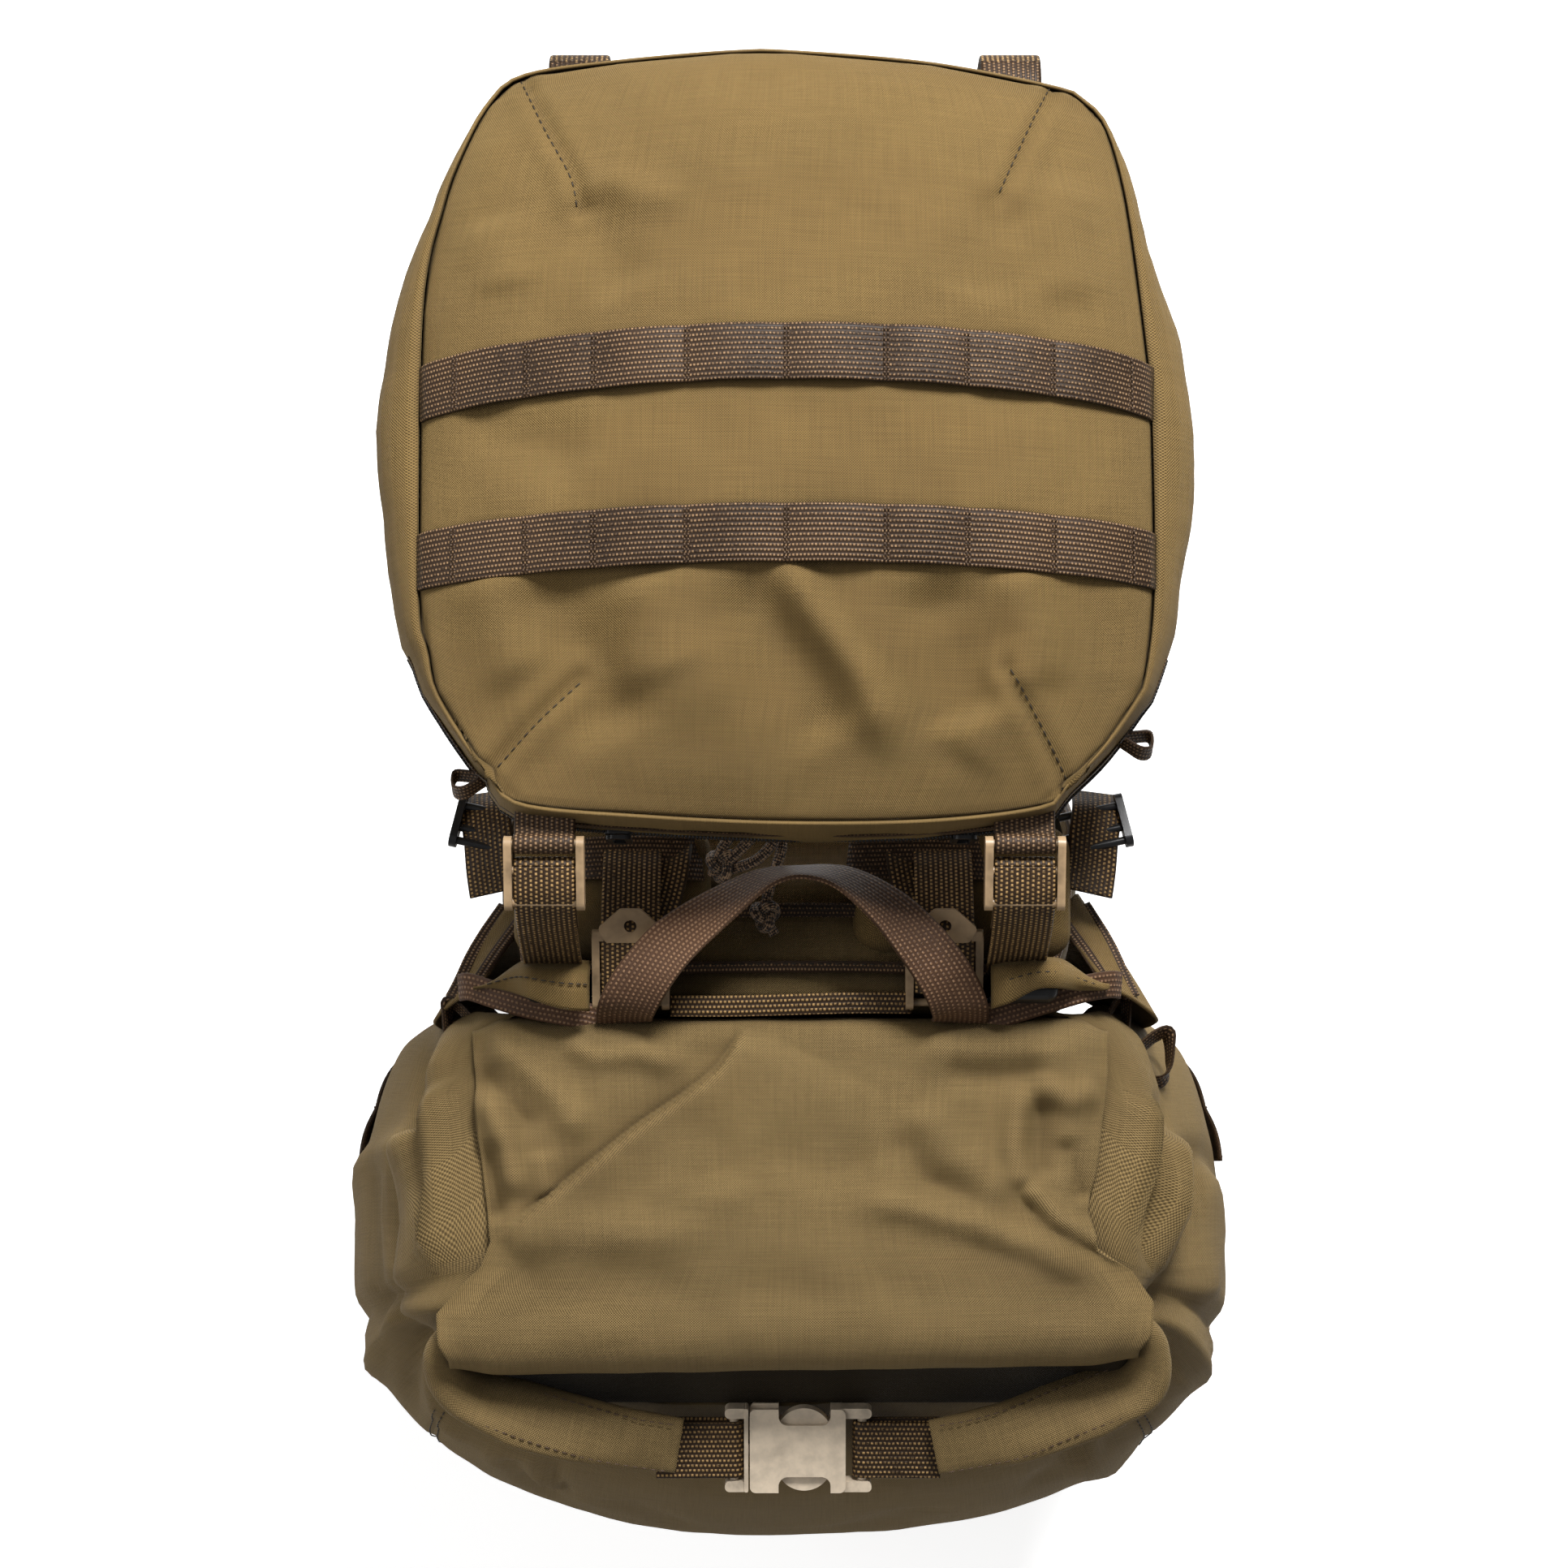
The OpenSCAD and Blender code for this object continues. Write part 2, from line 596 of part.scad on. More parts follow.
module lid_front_web() {
    difference() {
        union() {
            rod_x(web_w, 7);
            translate([0, 7 - web_t / 2, lid_front_bar[1] / 2])
                cube([web_w, web_t, -lid_front_bar[1]], center = true);
        }
        rod_x(web_w + 1, 7 - web_t);
    }
    // the end turns round the buckle's bar
    translate([0, lid_front_bar[0], lid_front_bar[1]]) intersection() {
        difference() {
            rod_x(web_w, 4.1);
            rod_x(web_w + 1, 4.1 - web_t);
        }
        translate([0, 0, -10]) cube([web_w + 2, 20, 20], center = true);
    }
}
module lid_front_half() {
    translate([0, lid_front_bar[0], lid_front_bar[1]]) rotate([90, 90, 0])
        translate([ear_x - 4, 0, 0]) male_half();
}
module lid_front_web_left() { color(webbing) at_lid_front(0) lid_front_web(); }
module lid_front_web_right() { color(webbing) at_lid_front(1) lid_front_web(); }
module lid_front_buckle_left() { color(tan_plastic) at_lid_front(0) lid_front_half(); }
module lid_front_buckle_right() { color(tan_plastic) at_lid_front(1) lid_front_half(); }

// ---- handle and cord ----

handle_r = 66;                 // radius of the handle's arch, to the middle of its webbing
handle_lean = 32;              // above the horizontal, thrown back over the harness
handle_foot = [113.5, 650];    // the handle turns about this line, in YZ
module grab_handle() {
    half = (web_w - 2) / 2;
    color(webbing) translate([3, handle_foot[0], handle_foot[1]]) rotate([handle_lean, 0, 0]) difference() {
        union() {
            cylinder(h = web_t, r = handle_r + half, center = true, $fn = 96);
            for (s = [-1, 1]) translate([s * handle_r, 0, 0]) rod_x(2 * half, 1.4);
        }
        cylinder(h = web_t + 1, r = handle_r - half, center = true, $fn = 96);
        translate([0, -101.5, 0]) cube([200, 200, 10], center = true);
    }
}

// Straight run of cord from a to b, with a knot at b
module cord(a, b, knot) {
    run = b - a;
    translate(a) rotate([0, acos(run[2] / norm(run)), atan2(run[1], run[0])])
        cylinder(h = norm(run), r = 2.2, $fn = 24);
    translate(b) sphere(knot, $fn = 32);
}
module drawcord() {
    color("#6b5a48") {
        cord([-13, 184, 638], [-28, 158, 641], 5.5);
        cord([-4, 184, 638], [-11, 148, 640], 5);
    }
}

// ---- webbing and buckles sewn on the bag ----

// Strip of webbing that follows the bag's surface from angle a0 to a1, its lower edge at height z
module wrap(a0, a1, z, h = web_w, off = 1.6, steps = 10) {
    far = [for (k = [0:steps])
        let (a = a0 + (a1 - a0) * k / steps, low = bag_point(a, z, off), high = bag_point(a, z + h, off),
            low_xy = [low[0], low[1]], high_xy = [high[0], high[1]])
        norm(low_xy - [0, mid_y]) > norm(high_xy - [0, mid_y]) ? low_xy : high_xy];
    translate([0, 0, z]) linear_extrude(h) polygon(strip(far, web_t));
}

side_z = [128, 328];
pals_z = [195, 262, 395, 445, 495];

module side_webbing() {
    color(webbing) for (m = [0, 1]) mirror([m, 0, 0]) {
        for (z = pals_z) wrap(14, 52, z);
        for (z = side_z) {
            wrap(-62, -23, z);
            wrap(21, 55, z);
        }
    }
}

function side_x(z) = body_w / 2 * lookup((z + web_w / 2) / body_h, bag_width) + 8;
module at_side(z, m) {
    mirror([m, 0, 0]) translate([side_x(z), 2, z + web_w / 2]) rotate([90, 0, 90])
        mirror([1, 0, 0]) children();
}
module side_buckles() { color(tan_plastic) for (z = side_z, m = [0, 1]) at_side(z, m) female_half(); }
module side_male_upper_left() { color(tan_plastic) at_side(side_z[1], 1) male_half(); }
module side_male_upper_right() { color(tan_plastic) at_side(side_z[1], 0) male_half(); }
module side_male_lower_left() { color(tan_plastic) at_side(side_z[0], 1) male_half(); }
module side_male_lower_right() { color(tan_plastic) at_side(side_z[0], 0) male_half(); }

front_panel();
side_panels();
back_panel();
base_panel();
mouth_binding();
roll_collar();
roll_hem();
roll_flaps();
roll_web_left();
roll_web_right();
roll_buckle_female();
roll_buckle_male();
roll_buckle_arm_front();
roll_buckle_arm_rear();
frame_stays();
stay_caps();
frame_sheet();
frame_pocket();
hook_strip();
back_pads();
yoke_pads();
shoulder_strap_left();
shoulder_strap_right();
strap_ladderlock_left();
strap_ladderlock_right();
shoulder_webs();
sternum_left();
sternum_right();
load_lifter_webs();
lifter_ladderlock_left();
lifter_ladderlock_right();
stabiliser_ladderlocks();
hip_wing_left();
hip_wing_right();
hip_web_left();
hip_web_right();
hip_buckle_female();
hip_buckle_male();
lid_top_panel();
lid_gusset();
lid_underside();
lid_pals();
lid_zip_track();
lid_zip_slider_left();
lid_zip_slider_right();
lid_edge_webs();
lid_rear_straps();
lid_rear_buckles();
lid_front_web_left();
lid_front_web_right();
lid_front_buckle_left();
lid_front_buckle_right();
grab_handle();
drawcord();
side_webbing();
side_buckles();
side_male_upper_left();
side_male_upper_right();
side_male_lower_left();
side_male_lower_right();
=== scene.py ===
"""The looks of the hunting backpack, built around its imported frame.

Everything is in metres in the row frame: +Z up, -Y the front, +Y the wearer's side.
"""
import math

import bpy
from mathutils import Matrix, Vector, noise


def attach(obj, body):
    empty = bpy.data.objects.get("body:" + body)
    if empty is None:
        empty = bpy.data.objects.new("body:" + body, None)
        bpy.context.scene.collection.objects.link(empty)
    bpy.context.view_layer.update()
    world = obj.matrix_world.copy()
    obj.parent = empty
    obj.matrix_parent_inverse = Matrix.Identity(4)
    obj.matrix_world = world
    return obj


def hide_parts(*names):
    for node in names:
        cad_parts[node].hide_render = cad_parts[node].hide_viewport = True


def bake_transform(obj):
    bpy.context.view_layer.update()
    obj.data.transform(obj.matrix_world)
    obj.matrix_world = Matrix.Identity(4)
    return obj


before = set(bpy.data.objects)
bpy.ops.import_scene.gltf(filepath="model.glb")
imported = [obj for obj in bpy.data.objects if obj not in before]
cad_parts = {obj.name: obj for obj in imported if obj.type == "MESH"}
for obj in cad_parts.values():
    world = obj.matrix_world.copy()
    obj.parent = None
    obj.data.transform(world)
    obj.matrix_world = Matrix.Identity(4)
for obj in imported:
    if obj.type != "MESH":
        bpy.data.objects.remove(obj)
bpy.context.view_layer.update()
MM = 0.001
WEB = 25 * MM
WEB_T = 1.8 * MM
X_AXIS = Vector((1, 0, 0))
Y_AXIS = Vector((0, 1, 0))
UP = Vector((0, 0, 1))


# ---- points and curves ----

def pt(x, y, z):
    """A point given in millimetres."""
    return Vector((x * MM, y * MM, z * MM))


def pts(*triples):
    """Points given in millimetres, as (x, y, z)."""
    return [pt(*t) for t in triples]


def mirrored(m, *triples):
    """Points in millimetres whose x is multiplied by m, 1 for the right side and -1 for the left."""
    return [pt(m * x, y, z) for x, y, z in triples]


def at_x(x, *pairs):
    """Points in millimetres that share x, each given as (y, z)."""
    return [pt(x, y, z) for y, z in pairs]


def clamp(v, low=0.0, high=1.0):
    return max(low, min(high, v))


def smooth(v, low=0.0, high=1.0):
    """0 below low, 1 above high, eased between."""
    t = clamp((v - low) / (high - low))
    return t * t * (3 - 2 * t)


def lookup(x, table):
    """The value at x of a table of (x, value) pairs, straight between them."""
    if x <= table[0][0]:
        return table[0][1]
    for (x0, v0), (x1, v1) in zip(table, table[1:]):
        if x <= x1:
            return v0 + (v1 - v0) * (x - x0) / (x1 - x0)
    return table[-1][1]


def spline(points, per=6):
    """A smooth curve through points, with per steps between each two."""
    out = []
    last = len(points) - 1
    for i in range(last):
        a, b = points[max(i - 1, 0)], points[i]
        c, d = points[i + 1], points[min(i + 2, last)]
        for k in range(per):
            t = k / per
            out.append(0.5 * (2 * b + (c - a) * t + (2 * a - 5 * b + 4 * c - d) * t ** 2
                              + (3 * b - a - 3 * c + d) * t ** 3))
    out.append(points[-1].copy())
    return out


def resample(points, count):
    """count points evenly spaced along a polyline."""
    steps = [0.0]
    for a, b in zip(points, points[1:]):
        steps.append(steps[-1] + (b - a).length)
    out = []
    i = 0
    for k in range(count):
        want = steps[-1] * k / (count - 1)
        while i < len(points) - 2 and steps[i + 1] < want:
            i += 1
        span = max(steps[i + 1] - steps[i], 1e-9)
        out.append(points[i].lerp(points[i + 1], clamp((want - steps[i]) / span)))
    return out


def tangent(path, i):
    """Direction of a polyline at its i-th point."""
    return (path[min(i + 1, len(path) - 1)] - path[max(i - 1, 0)]).normalized()


def bumps(p, size, seed=0.0):
    """Soft noise between about -1 and 1 whose lumps are size metres wide."""
    return noise.noise(Vector((p.x / size + seed, p.y / size - seed, p.z / size + 2 * seed)))


def fold(p, path, width, height):
    """Height at p of a fold whose crest runs along path, in the XY plane; it fades at both ends."""
    best = 1e9
    share = 0.0
    for i, (a, b) in enumerate(zip(path, path[1:])):
        run = (b - a).xy
        t = clamp((p - a).xy.dot(run) / max(run.length_squared, 1e-12))
        away = ((a.xy + run * t) - p.xy).length
        if away < best:
            best = away
            share = (i + t) / (len(path) - 1)
    fade = smooth(share, 0, 0.22) * (1 - smooth(share, 0.78, 1))
    return height * fade * math.exp(-(best / width) ** 2)


def lap(p, path, height, reach):
    """Height at p of cloth that overlaps along path: high on its left and dropping sharply to its right."""
    best = 1e9
    share = 0.0
    side = 1.0
    for i, (a, b) in enumerate(zip(path, path[1:])):
        run = (b - a).xy
        t = clamp((p - a).xy.dot(run) / max(run.length_squared, 1e-12))
        off = p.xy - (a.xy + run * t)
        if off.length < best:
            best = off.length
            share = (i + t) / (len(path) - 1)
            side = 1.0 if run.x * off.y - run.y * off.x > 0 else -1.0
    fade = smooth(share, 0, 0.12) * (1 - smooth(share, 0.85, 1))
    if side > 0:
        return height * fade * math.exp(-best / reach) * smooth(best, -0.0012, 0.0012)
    return -0.5 * height * fade * math.exp(-best / (0.35 * reach)) * smooth(best, 0, 0.0015)


# ---- meshes ----

def piece(name, verts, faces, material, body=None, uvs=None, replaces=(), slot=None):
    mesh = bpy.data.meshes.new(name)
    mesh.from_pydata([tuple(v) for v in verts], [], faces)
    if uvs:
        layer = mesh.uv_layers.new(name="weave")
        for loop in mesh.loops:
            layer.data[loop.index].uv = uvs[loop.vertex_index]
    mesh.shade_smooth()
    obj = bpy.data.objects.new(name, mesh)
    bpy.context.scene.collection.objects.link(obj)
    obj.data.materials.append(material)
    if body:
        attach(obj, body)
    if replaces:
        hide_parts(*replaces)
    return obj


def thicken(obj, thickness, offset=-1.0):
    """Gives a sheet of cloth its thickness."""
    mod = obj.modifiers.new("thickness", "SOLIDIFY")
    mod.thickness = thickness
    mod.offset = offset
    mod.use_quality_normals = True
    return obj


def grid_uvs(rows):
    """Coordinates in metres along and across a grid of points, for the weave."""
    m, n = len(rows), len(rows[0])
    across = [0.0]
    for j in range(1, n):
        step = sum((rows[i][j] - rows[i][j - 1]).length for i in range(m)) / m
        across.append(across[-1] + step)
    down = [0.0]
    for i in range(1, m):
        step = sum((rows[i][j] - rows[i - 1][j]).length for j in range(n)) / n
        down.append(down[-1] + step)
    return [(across[j], down[i]) for i in range(m) for j in range(n)]


def grid_faces(m, n, start=0):
    """Four-sided faces between the points of a grid of m rows of n."""
    return [(start + i * n + j, start + i * n + j + 1, start + (i + 1) * n + j + 1,
             start + (i + 1) * n + j)
            for i in range(m - 1) for j in range(n - 1)]


def sheet(name, rows, material, body=None, thickness=0.0, slot="fabric", **more):
    """Cloth through a grid of points."""
    verts = [p for row in rows for p in row]
    obj = piece(name, verts, grid_faces(len(rows), len(rows[0])), material, body, grid_uvs(rows),
                slot=slot, **more)
    if thickness:
        thicken(obj, thickness)
    return obj


def tube(name, rings, material, body=None, caps=True, slot="fabric", **more):
    """A closed solid through rings of points; the weave runs round and along it."""
    n = len(rings[0])
    rows = [list(r) + [r[0]] for r in rings]
    verts = [p for row in rows for p in row]
    uvs = grid_uvs(rows)
    faces = grid_faces(len(rows), n + 1)
    if caps:
        for end, ring in ((0, rings[0]), (len(rings) - 1, rings[-1])):
            middle = sum(ring, Vector()) / n
            verts.append(middle)
            uvs.append((uvs[end * (n + 1)][0], uvs[end * (n + 1)][1] + 0.01))
            base = end * (n + 1)
            for j in range(n):
                face = (base + j, base + j + 1, len(verts) - 1)
                faces.append(face[::-1] if end == 0 else face)
    obj = piece(name, verts, faces, material, body, uvs, slot=slot, **more)
    weld(obj)
    return obj


def weld(obj):
    """Joins the points that lie on each other, keeping the weave's own seams."""
    mod = obj.modifiers.new("weld", "WELD")
    mod.merge_threshold = 0.00002


STRIP = ((-1, 0), (-0.975, 0.7), (-0.9, 1), (-0.45, 1), (0, 1), (0.45, 1), (0.9, 1), (0.975, 0.7),
         (1, 0), (0.975, -0.7), (0.9, -1), (0.45, -1), (0, -1), (-0.45, -1), (-0.9, -1), (-0.975, -0.7))


def ribbon_mesh(path, across, width, thickness, crown=0.0):
    """Points, faces and weave coordinates of a strap that follows path; across is its width's direction."""
    sides = across if isinstance(across, list) else [across] * len(path)
    n = len(STRIP)
    verts, uvs = [], []
    run = 0.0
    for i, p in enumerate(path):
        if i:
            run += (p - path[i - 1]).length
        along = tangent(path, i)
        side = (sides[i] - along * sides[i].dot(along)).normalized()
        up = side.cross(along)
        for k in range(n + 1):
            u, h = STRIP[k % n]
            lift = crown * (1 - u * u)
            verts.append(p + side * u * width / 2 + up * (h * thickness / 2 + lift))
            uvs.append((u * width / 2 + (0.1 if h < 0 else 0), run))
    faces = grid_faces(len(path), n + 1)
    last = (len(path) - 1) * (n + 1)
    faces.append(tuple(range(n - 1, -1, -1)))
    faces.append(tuple(range(last, last + n)))
    return verts, faces, uvs


def ribbons(name, strips, material, body=None, width=WEB, thickness=WEB_T, slot="webbing", **more):
    """Several straps as one piece; each strip is (path, across) or (path, across, width)."""
    verts, faces, uvs = [], [], []
    for strip in strips:
        wide = strip[2] if len(strip) > 2 else width
        v, f, t = ribbon_mesh(strip[0], strip[1], wide, thickness)
        faces += [tuple(i + len(verts) for i in face) for face in f]
        verts += v
        uvs += t
    obj = piece(name, verts, faces, material, body, uvs, slot=slot, **more)
    weld(obj)
    return obj


def stitches(name, lines, material, body=None, length=0.0026, gap=0.0013, radius=0.00028, lift=0.0002):
    """Rows of thread stitches; each line is (path, up), with up the way the cloth faces."""
    verts, faces = [], []
    for path, up in lines:
        total = sum((b - a).length for a, b in zip(path, path[1:]))
        count = max(2, int(total / (length + gap)))
        spots = resample(path, count * 3 + 1)
        for k in range(count):
            a, b = spots[3 * k], spots[3 * k + 2]
            along = (b - a).normalized()
            face = up[min(int(k / count * len(up)), len(up) - 1)] if isinstance(up, list) else up
            side = along.cross(face).normalized()
            rise = side.cross(along).normalized()
            start = len(verts)
            for t, r in ((0.0, 0.3), (0.2, 1.0), (0.8, 1.0), (1.0, 0.3)):
                middle = a.lerp(b, t) + rise * lift * (1 if 0 < t < 1 else -0.5)
                for q in range(6):
                    angle = math.pi * q / 3
                    verts.append(middle + (side * math.cos(angle) + rise * math.sin(angle)) * radius * r)
            for i in range(3):
                for q in range(6):
                    r = (q + 1) % 6
                    low = start + i * 6
                    faces.append((low + q, low + r, low + 6 + r, low + 6 + q))
            faces.append(tuple(start + q for q in range(5, -1, -1)))
            faces.append(tuple(start + 18 + q for q in range(6)))
    return piece(name, verts, faces, material, body)


def round_bar(path, radius, sides=12):
    """Rings of a round bar along a path."""
    rings = []
    side = UP.cross(tangent(path, 0))
    if side.length < 0.1:
        side = Vector((1, 0, 0))
    for i, p in enumerate(path):
        along = tangent(path, i)
        side = (side - along * side.dot(along)).normalized()
        up = along.cross(side)
        rings.append([p + (side * math.cos(a) + up * math.sin(a)) * radius
                      for a in [2 * math.pi * k / sides for k in range(sides)]])
    return rings


# ---- materials ----

def linear(r, g, b):
    """A colour given as it looks on a screen, 0 to 255."""
    def one(c):
        c /= 255
        return c / 12.92 if c <= 0.04045 else ((c + 0.055) / 1.055) ** 2.4
    return (one(r), one(g), one(b), 1.0)


def scaled(colour, factor):
    """A lighter or darker shade of a colour."""
    return tuple(min(1.0, c * factor) for c in colour[:3]) + (1.0,)


class Nodes:
    """A small helper that builds one material's node tree."""

    def __init__(self, name):
        self.material = bpy.data.materials.new(name)
        self.material.use_nodes = True
        self.tree = self.material.node_tree
        self.shader = self.tree.nodes["Principled BSDF"]

    def add(self, kind, **settings):
        node = self.tree.nodes.new(kind)
        for key, value in settings.items():
            setattr(node, key, value)
        return node

    def link(self, source, target):
        if isinstance(source, (int, float, tuple)):
            target.default_value = source
        else:
            self.tree.links.new(source, target)

    def math(self, operation, a, b=0.0, c=0.0):
        node = self.add("ShaderNodeMath", operation=operation)
        for value, socket in zip((a, b, c), node.inputs):
            self.link(value, socket)
        return node.outputs[0]

    def times(self, a, b):
        return self.math("MULTIPLY", a, b)

    def plus(self, a, b):
        return self.math("ADD", a, b)

    def mix(self, share, a, b):
        node = self.add("ShaderNodeMix", data_type="RGBA")
        self.link(share, node.inputs[0])
        self.link(a, node.inputs[6])
        self.link(b, node.inputs[7])
        return node.outputs[2]

    def step(self, value, low, high):
        """0 below low, 1 above high, eased between."""
        node = self.add("ShaderNodeMapRange", interpolation_type="SMOOTHSTEP")
        self.link(value, node.inputs[0])
        node.inputs[1].default_value = low
        node.inputs[2].default_value = high
        return node.outputs[0]

    def uv(self):
        node = self.add("ShaderNodeUVMap", uv_map="weave")
        split = self.add("ShaderNodeSeparateXYZ")
        self.link(node.outputs[0], split.inputs[0])
        return split.outputs[0], split.outputs[1]

    def place(self):
        return self.add("ShaderNodeTexCoord").outputs["Object"]

    def vector(self, x, y, z=0.0):
        node = self.add("ShaderNodeCombineXYZ")
        for value, socket in zip((x, y, z), node.inputs):
            self.link(value, socket)
        return node.outputs[0]

    def noise(self, vector, scale, detail=2.0, roughness=0.5):
        node = self.add("ShaderNodeTexNoise")
        self.link(vector, node.inputs["Vector"])
        node.inputs["Scale"].default_value = scale
        node.inputs["Detail"].default_value = detail
        node.inputs["Roughness"].default_value = roughness
        return node.outputs[0]

    def hollow_shade_mask(self, distance):
        """1 on open surface, falling towards 0 in hollows narrower than distance; it masks the painted
        shade in the cloth.
        """
        node = self.add("ShaderNodeAmbientOcclusion", samples=6)
        node.inputs["Distance"].default_value = distance
        return node.outputs["AO"]

    def bump(self, height, distance, strength=1.0, normal=None):
        node = self.add("ShaderNodeBump")
        self.link(height, node.inputs["Height"])
        node.inputs["Distance"].default_value = distance
        node.inputs["Strength"].default_value = strength
        if normal is not None:
            self.link(normal, node.inputs["Normal"])
        return node.outputs[0]

    def finish(self, **inputs):
        for key, value in inputs.items():
            self.link(value, self.shader.inputs[key.replace("_", " ")])
        return self.material


def woven_cloth(name, light, dark, thread=0.0010, sheen=0.25, gold=(0.55, 0.40, 0.18, 1.0)):
    """Plain-weave nylon: two crossing threads, uneven along their length, and slight clouding, with painted
    shade darkening its creases and hollows.
    """
    n = Nodes(name)
    u, v = n.uv()
    wave = 2 * math.pi / thread
    warp = n.math("SINE", n.times(u, wave))
    weft = n.math("SINE", n.times(v, wave))
    check = n.times(warp, weft)
    slub_u = n.noise(n.vector(n.times(u, 35), n.times(v, 1.4 / thread)), 1.0, 2.0)
    slub_v = n.noise(n.vector(n.times(u, 1.4 / thread), n.times(v, 35)), 1.0, 2.0)
    slub = n.plus(slub_u, slub_v)
    cloud = n.noise(n.place(), 14.0, 4.0, 0.6)
    worn = n.noise(n.place(), 3.0, 2.0, 0.5)
    share = n.plus(n.times(check, 0.62), n.times(slub, 0.42))
    share = n.plus(share, n.times(cloud, 0.30))
    share = n.plus(share, n.times(worn, 0.30))
    colour = n.mix(n.step(share, 0.25, 1.15), dark, light)
    # Painted shade: in hollows narrower than 35 mm, found by an occlusion test, the colour falls towards
    # half the dark thread colour.
    colour = n.mix(n.step(n.hollow_shade_mask(0.035), 0.15, 0.95), scaled(dark, 0.5), colour)
    height = n.plus(check, n.times(slub, 0.6))
    normal = n.bump(height, 0.00020, 0.8)
    normal = n.bump(n.noise(n.place(), 70.0, 3.0, 0.55), 0.0012, 0.5, normal)
    rough = n.plus(0.62, n.times(cloud, 0.2))
    return n.finish(Base_Color=colour, Roughness=rough, Normal=normal, Sheen_Weight=sheen,
                    Sheen_Roughness=0.45, Sheen_Tint=gold, Specular_IOR_Level=0.28)


def woven_strap(name, base, fleck, across=0.0021, along=0.0018, amount=1.0):
    """Webbing: ribs along the strap, with a lighter thread that shows as staggered flecks; how bright the
    flecks are is partly painted glint.
    """
    n = Nodes(name)
    u, v = n.uv()
    column = n.math("DIVIDE", u, across)
    stagger = n.times(n.math("FLOOR", column), 0.5)
    row = n.plus(n.math("DIVIDE", v, along), stagger)
    cu = n.math("ABSOLUTE", n.math("SUBTRACT", n.math("FRACT", column), 0.5))
    cv = n.math("ABSOLUTE", n.math("SUBTRACT", n.math("FRACT", row), 0.5))
    rib = n.math("SUBTRACT", 1.0, n.step(cu, 0.10, 0.36))
    bead = n.math("SUBTRACT", 1.0, n.step(cv, 0.14, 0.40))
    thread = n.times(rib, bead)
    uneven = n.noise(n.vector(n.times(u, 900), n.times(v, 700)), 1.0, 2.0)
    broad = n.noise(n.place(), 18.0, 2.0, 0.6)
    share = n.times(thread, n.step(n.plus(uneven, n.times(broad, 0.5)), 0.45, 0.95))
    under = n.mix(n.step(broad, 0.35, 0.7), base, scaled(base, 1.6))
    colour = n.mix(n.times(share, amount), under, fleck)
    height = n.plus(n.times(thread, 0.7), n.times(rib, 0.5))
    normal = n.bump(n.plus(height, n.times(uneven, 0.3)), 0.00035, 0.8)
    return n.finish(Base_Color=colour, Roughness=0.5, Normal=normal, Sheen_Weight=0.05,
                    Sheen_Roughness=0.5,
                    Sheen_Tint=(0.6, 0.42, 0.22, 1.0), Specular_IOR_Level=0.22)


def moulded(name, base, rough=0.45, mottle=0.12, grain=0.00006):
    """Moulded nylon: faint mottling, fine grain and rubbed high spots."""
    n = Nodes(name)
    where = n.place()
    cloud = n.noise(where, 120.0, 3.0, 0.6)
    fine = n.noise(where, 1500.0, 2.0, 0.6)
    colour = n.mix(n.step(cloud, 0.3, 0.7), scaled(base, 1 - 2 * mottle), scaled(base, 1 + 2 * mottle))
    geometry = n.add("ShaderNodeNewGeometry")
    worn = n.step(geometry.outputs["Pointiness"], 0.52, 0.60)
    colour = n.mix(n.times(worn, 0.35), colour, scaled(base, 1.5))
    normal = n.bump(fine, grain, 0.5)
    return n.finish(Base_Color=colour, Roughness=n.plus(rough - 0.08, n.times(cloud, 0.16)),
                    Normal=normal, Specular_IOR_Level=0.45)


def braided_cord(name, base, fleck):
    """Round cord with a crossing braid and lighter flecks."""
    n = Nodes(name)
    u, v = n.uv()
    a = n.math("SINE", n.plus(n.times(u, 2800), n.times(v, 2600)))
    b = n.math("SINE", n.math("SUBTRACT", n.times(u, 2800), n.times(v, 2600)))
    braid = n.times(a, b)
    spot = n.noise(n.vector(n.times(u, 500), n.times(v, 500)), 1.0, 1.0)
    colour = n.mix(n.step(n.plus(n.times(braid, 0.2), spot), 0.45, 0.62), base, fleck)
    return n.finish(Base_Color=colour, Roughness=0.6, Normal=n.bump(braid, 0.0005, 0.9), Sheen_Weight=0.2)


def brushed_bar(name):
    """Bare metal, brushed along its length."""
    n = Nodes(name)
    where = n.place()
    split = n.add("ShaderNodeSeparateXYZ")
    n.link(where, split.inputs[0])
    x, y, z = split.outputs
    streak = n.noise(n.vector(n.times(x, 2500), y, n.times(z, 25)), 1.0, 3.0)
    colour = n.mix(streak, (0.42, 0.43, 0.45, 1.0), (0.66, 0.67, 0.69, 1.0))
    return n.finish(Base_Color=colour, Metallic=1.0, Roughness=n.plus(0.25, n.times(streak, 0.2)),
                    Normal=n.bump(streak, 0.00003, 0.5))


def thread(name, colour):
    """Twisted sewing thread."""
    n = Nodes(name)
    twist = n.noise(n.place(), 2500.0, 2.0)
    shade = n.mix(twist, scaled(colour, 0.6), colour)
    return n.finish(Base_Color=shade, Roughness=0.55, Normal=n.bump(twist, 0.0001, 0.5))


CLOTH = woven_cloth("olive_cloth", linear(143, 116, 68), linear(88, 69, 37))
CLOTH_BAG = woven_cloth("bag_cloth", linear(150, 125, 80), linear(88, 71, 42))
LINING = woven_cloth("pad_cloth", linear(86, 73, 51), linear(50, 42, 29), 0.0012, 0.1)
# Painted shade: very dark cloth for the roll's inside, standing for the shadow under the roll's lip.
ROLL_CAVITY_SHADE = woven_cloth("roll_cavity_painted_shade", linear(60, 49, 29), linear(34, 27, 15), 0.0012, 0.05)
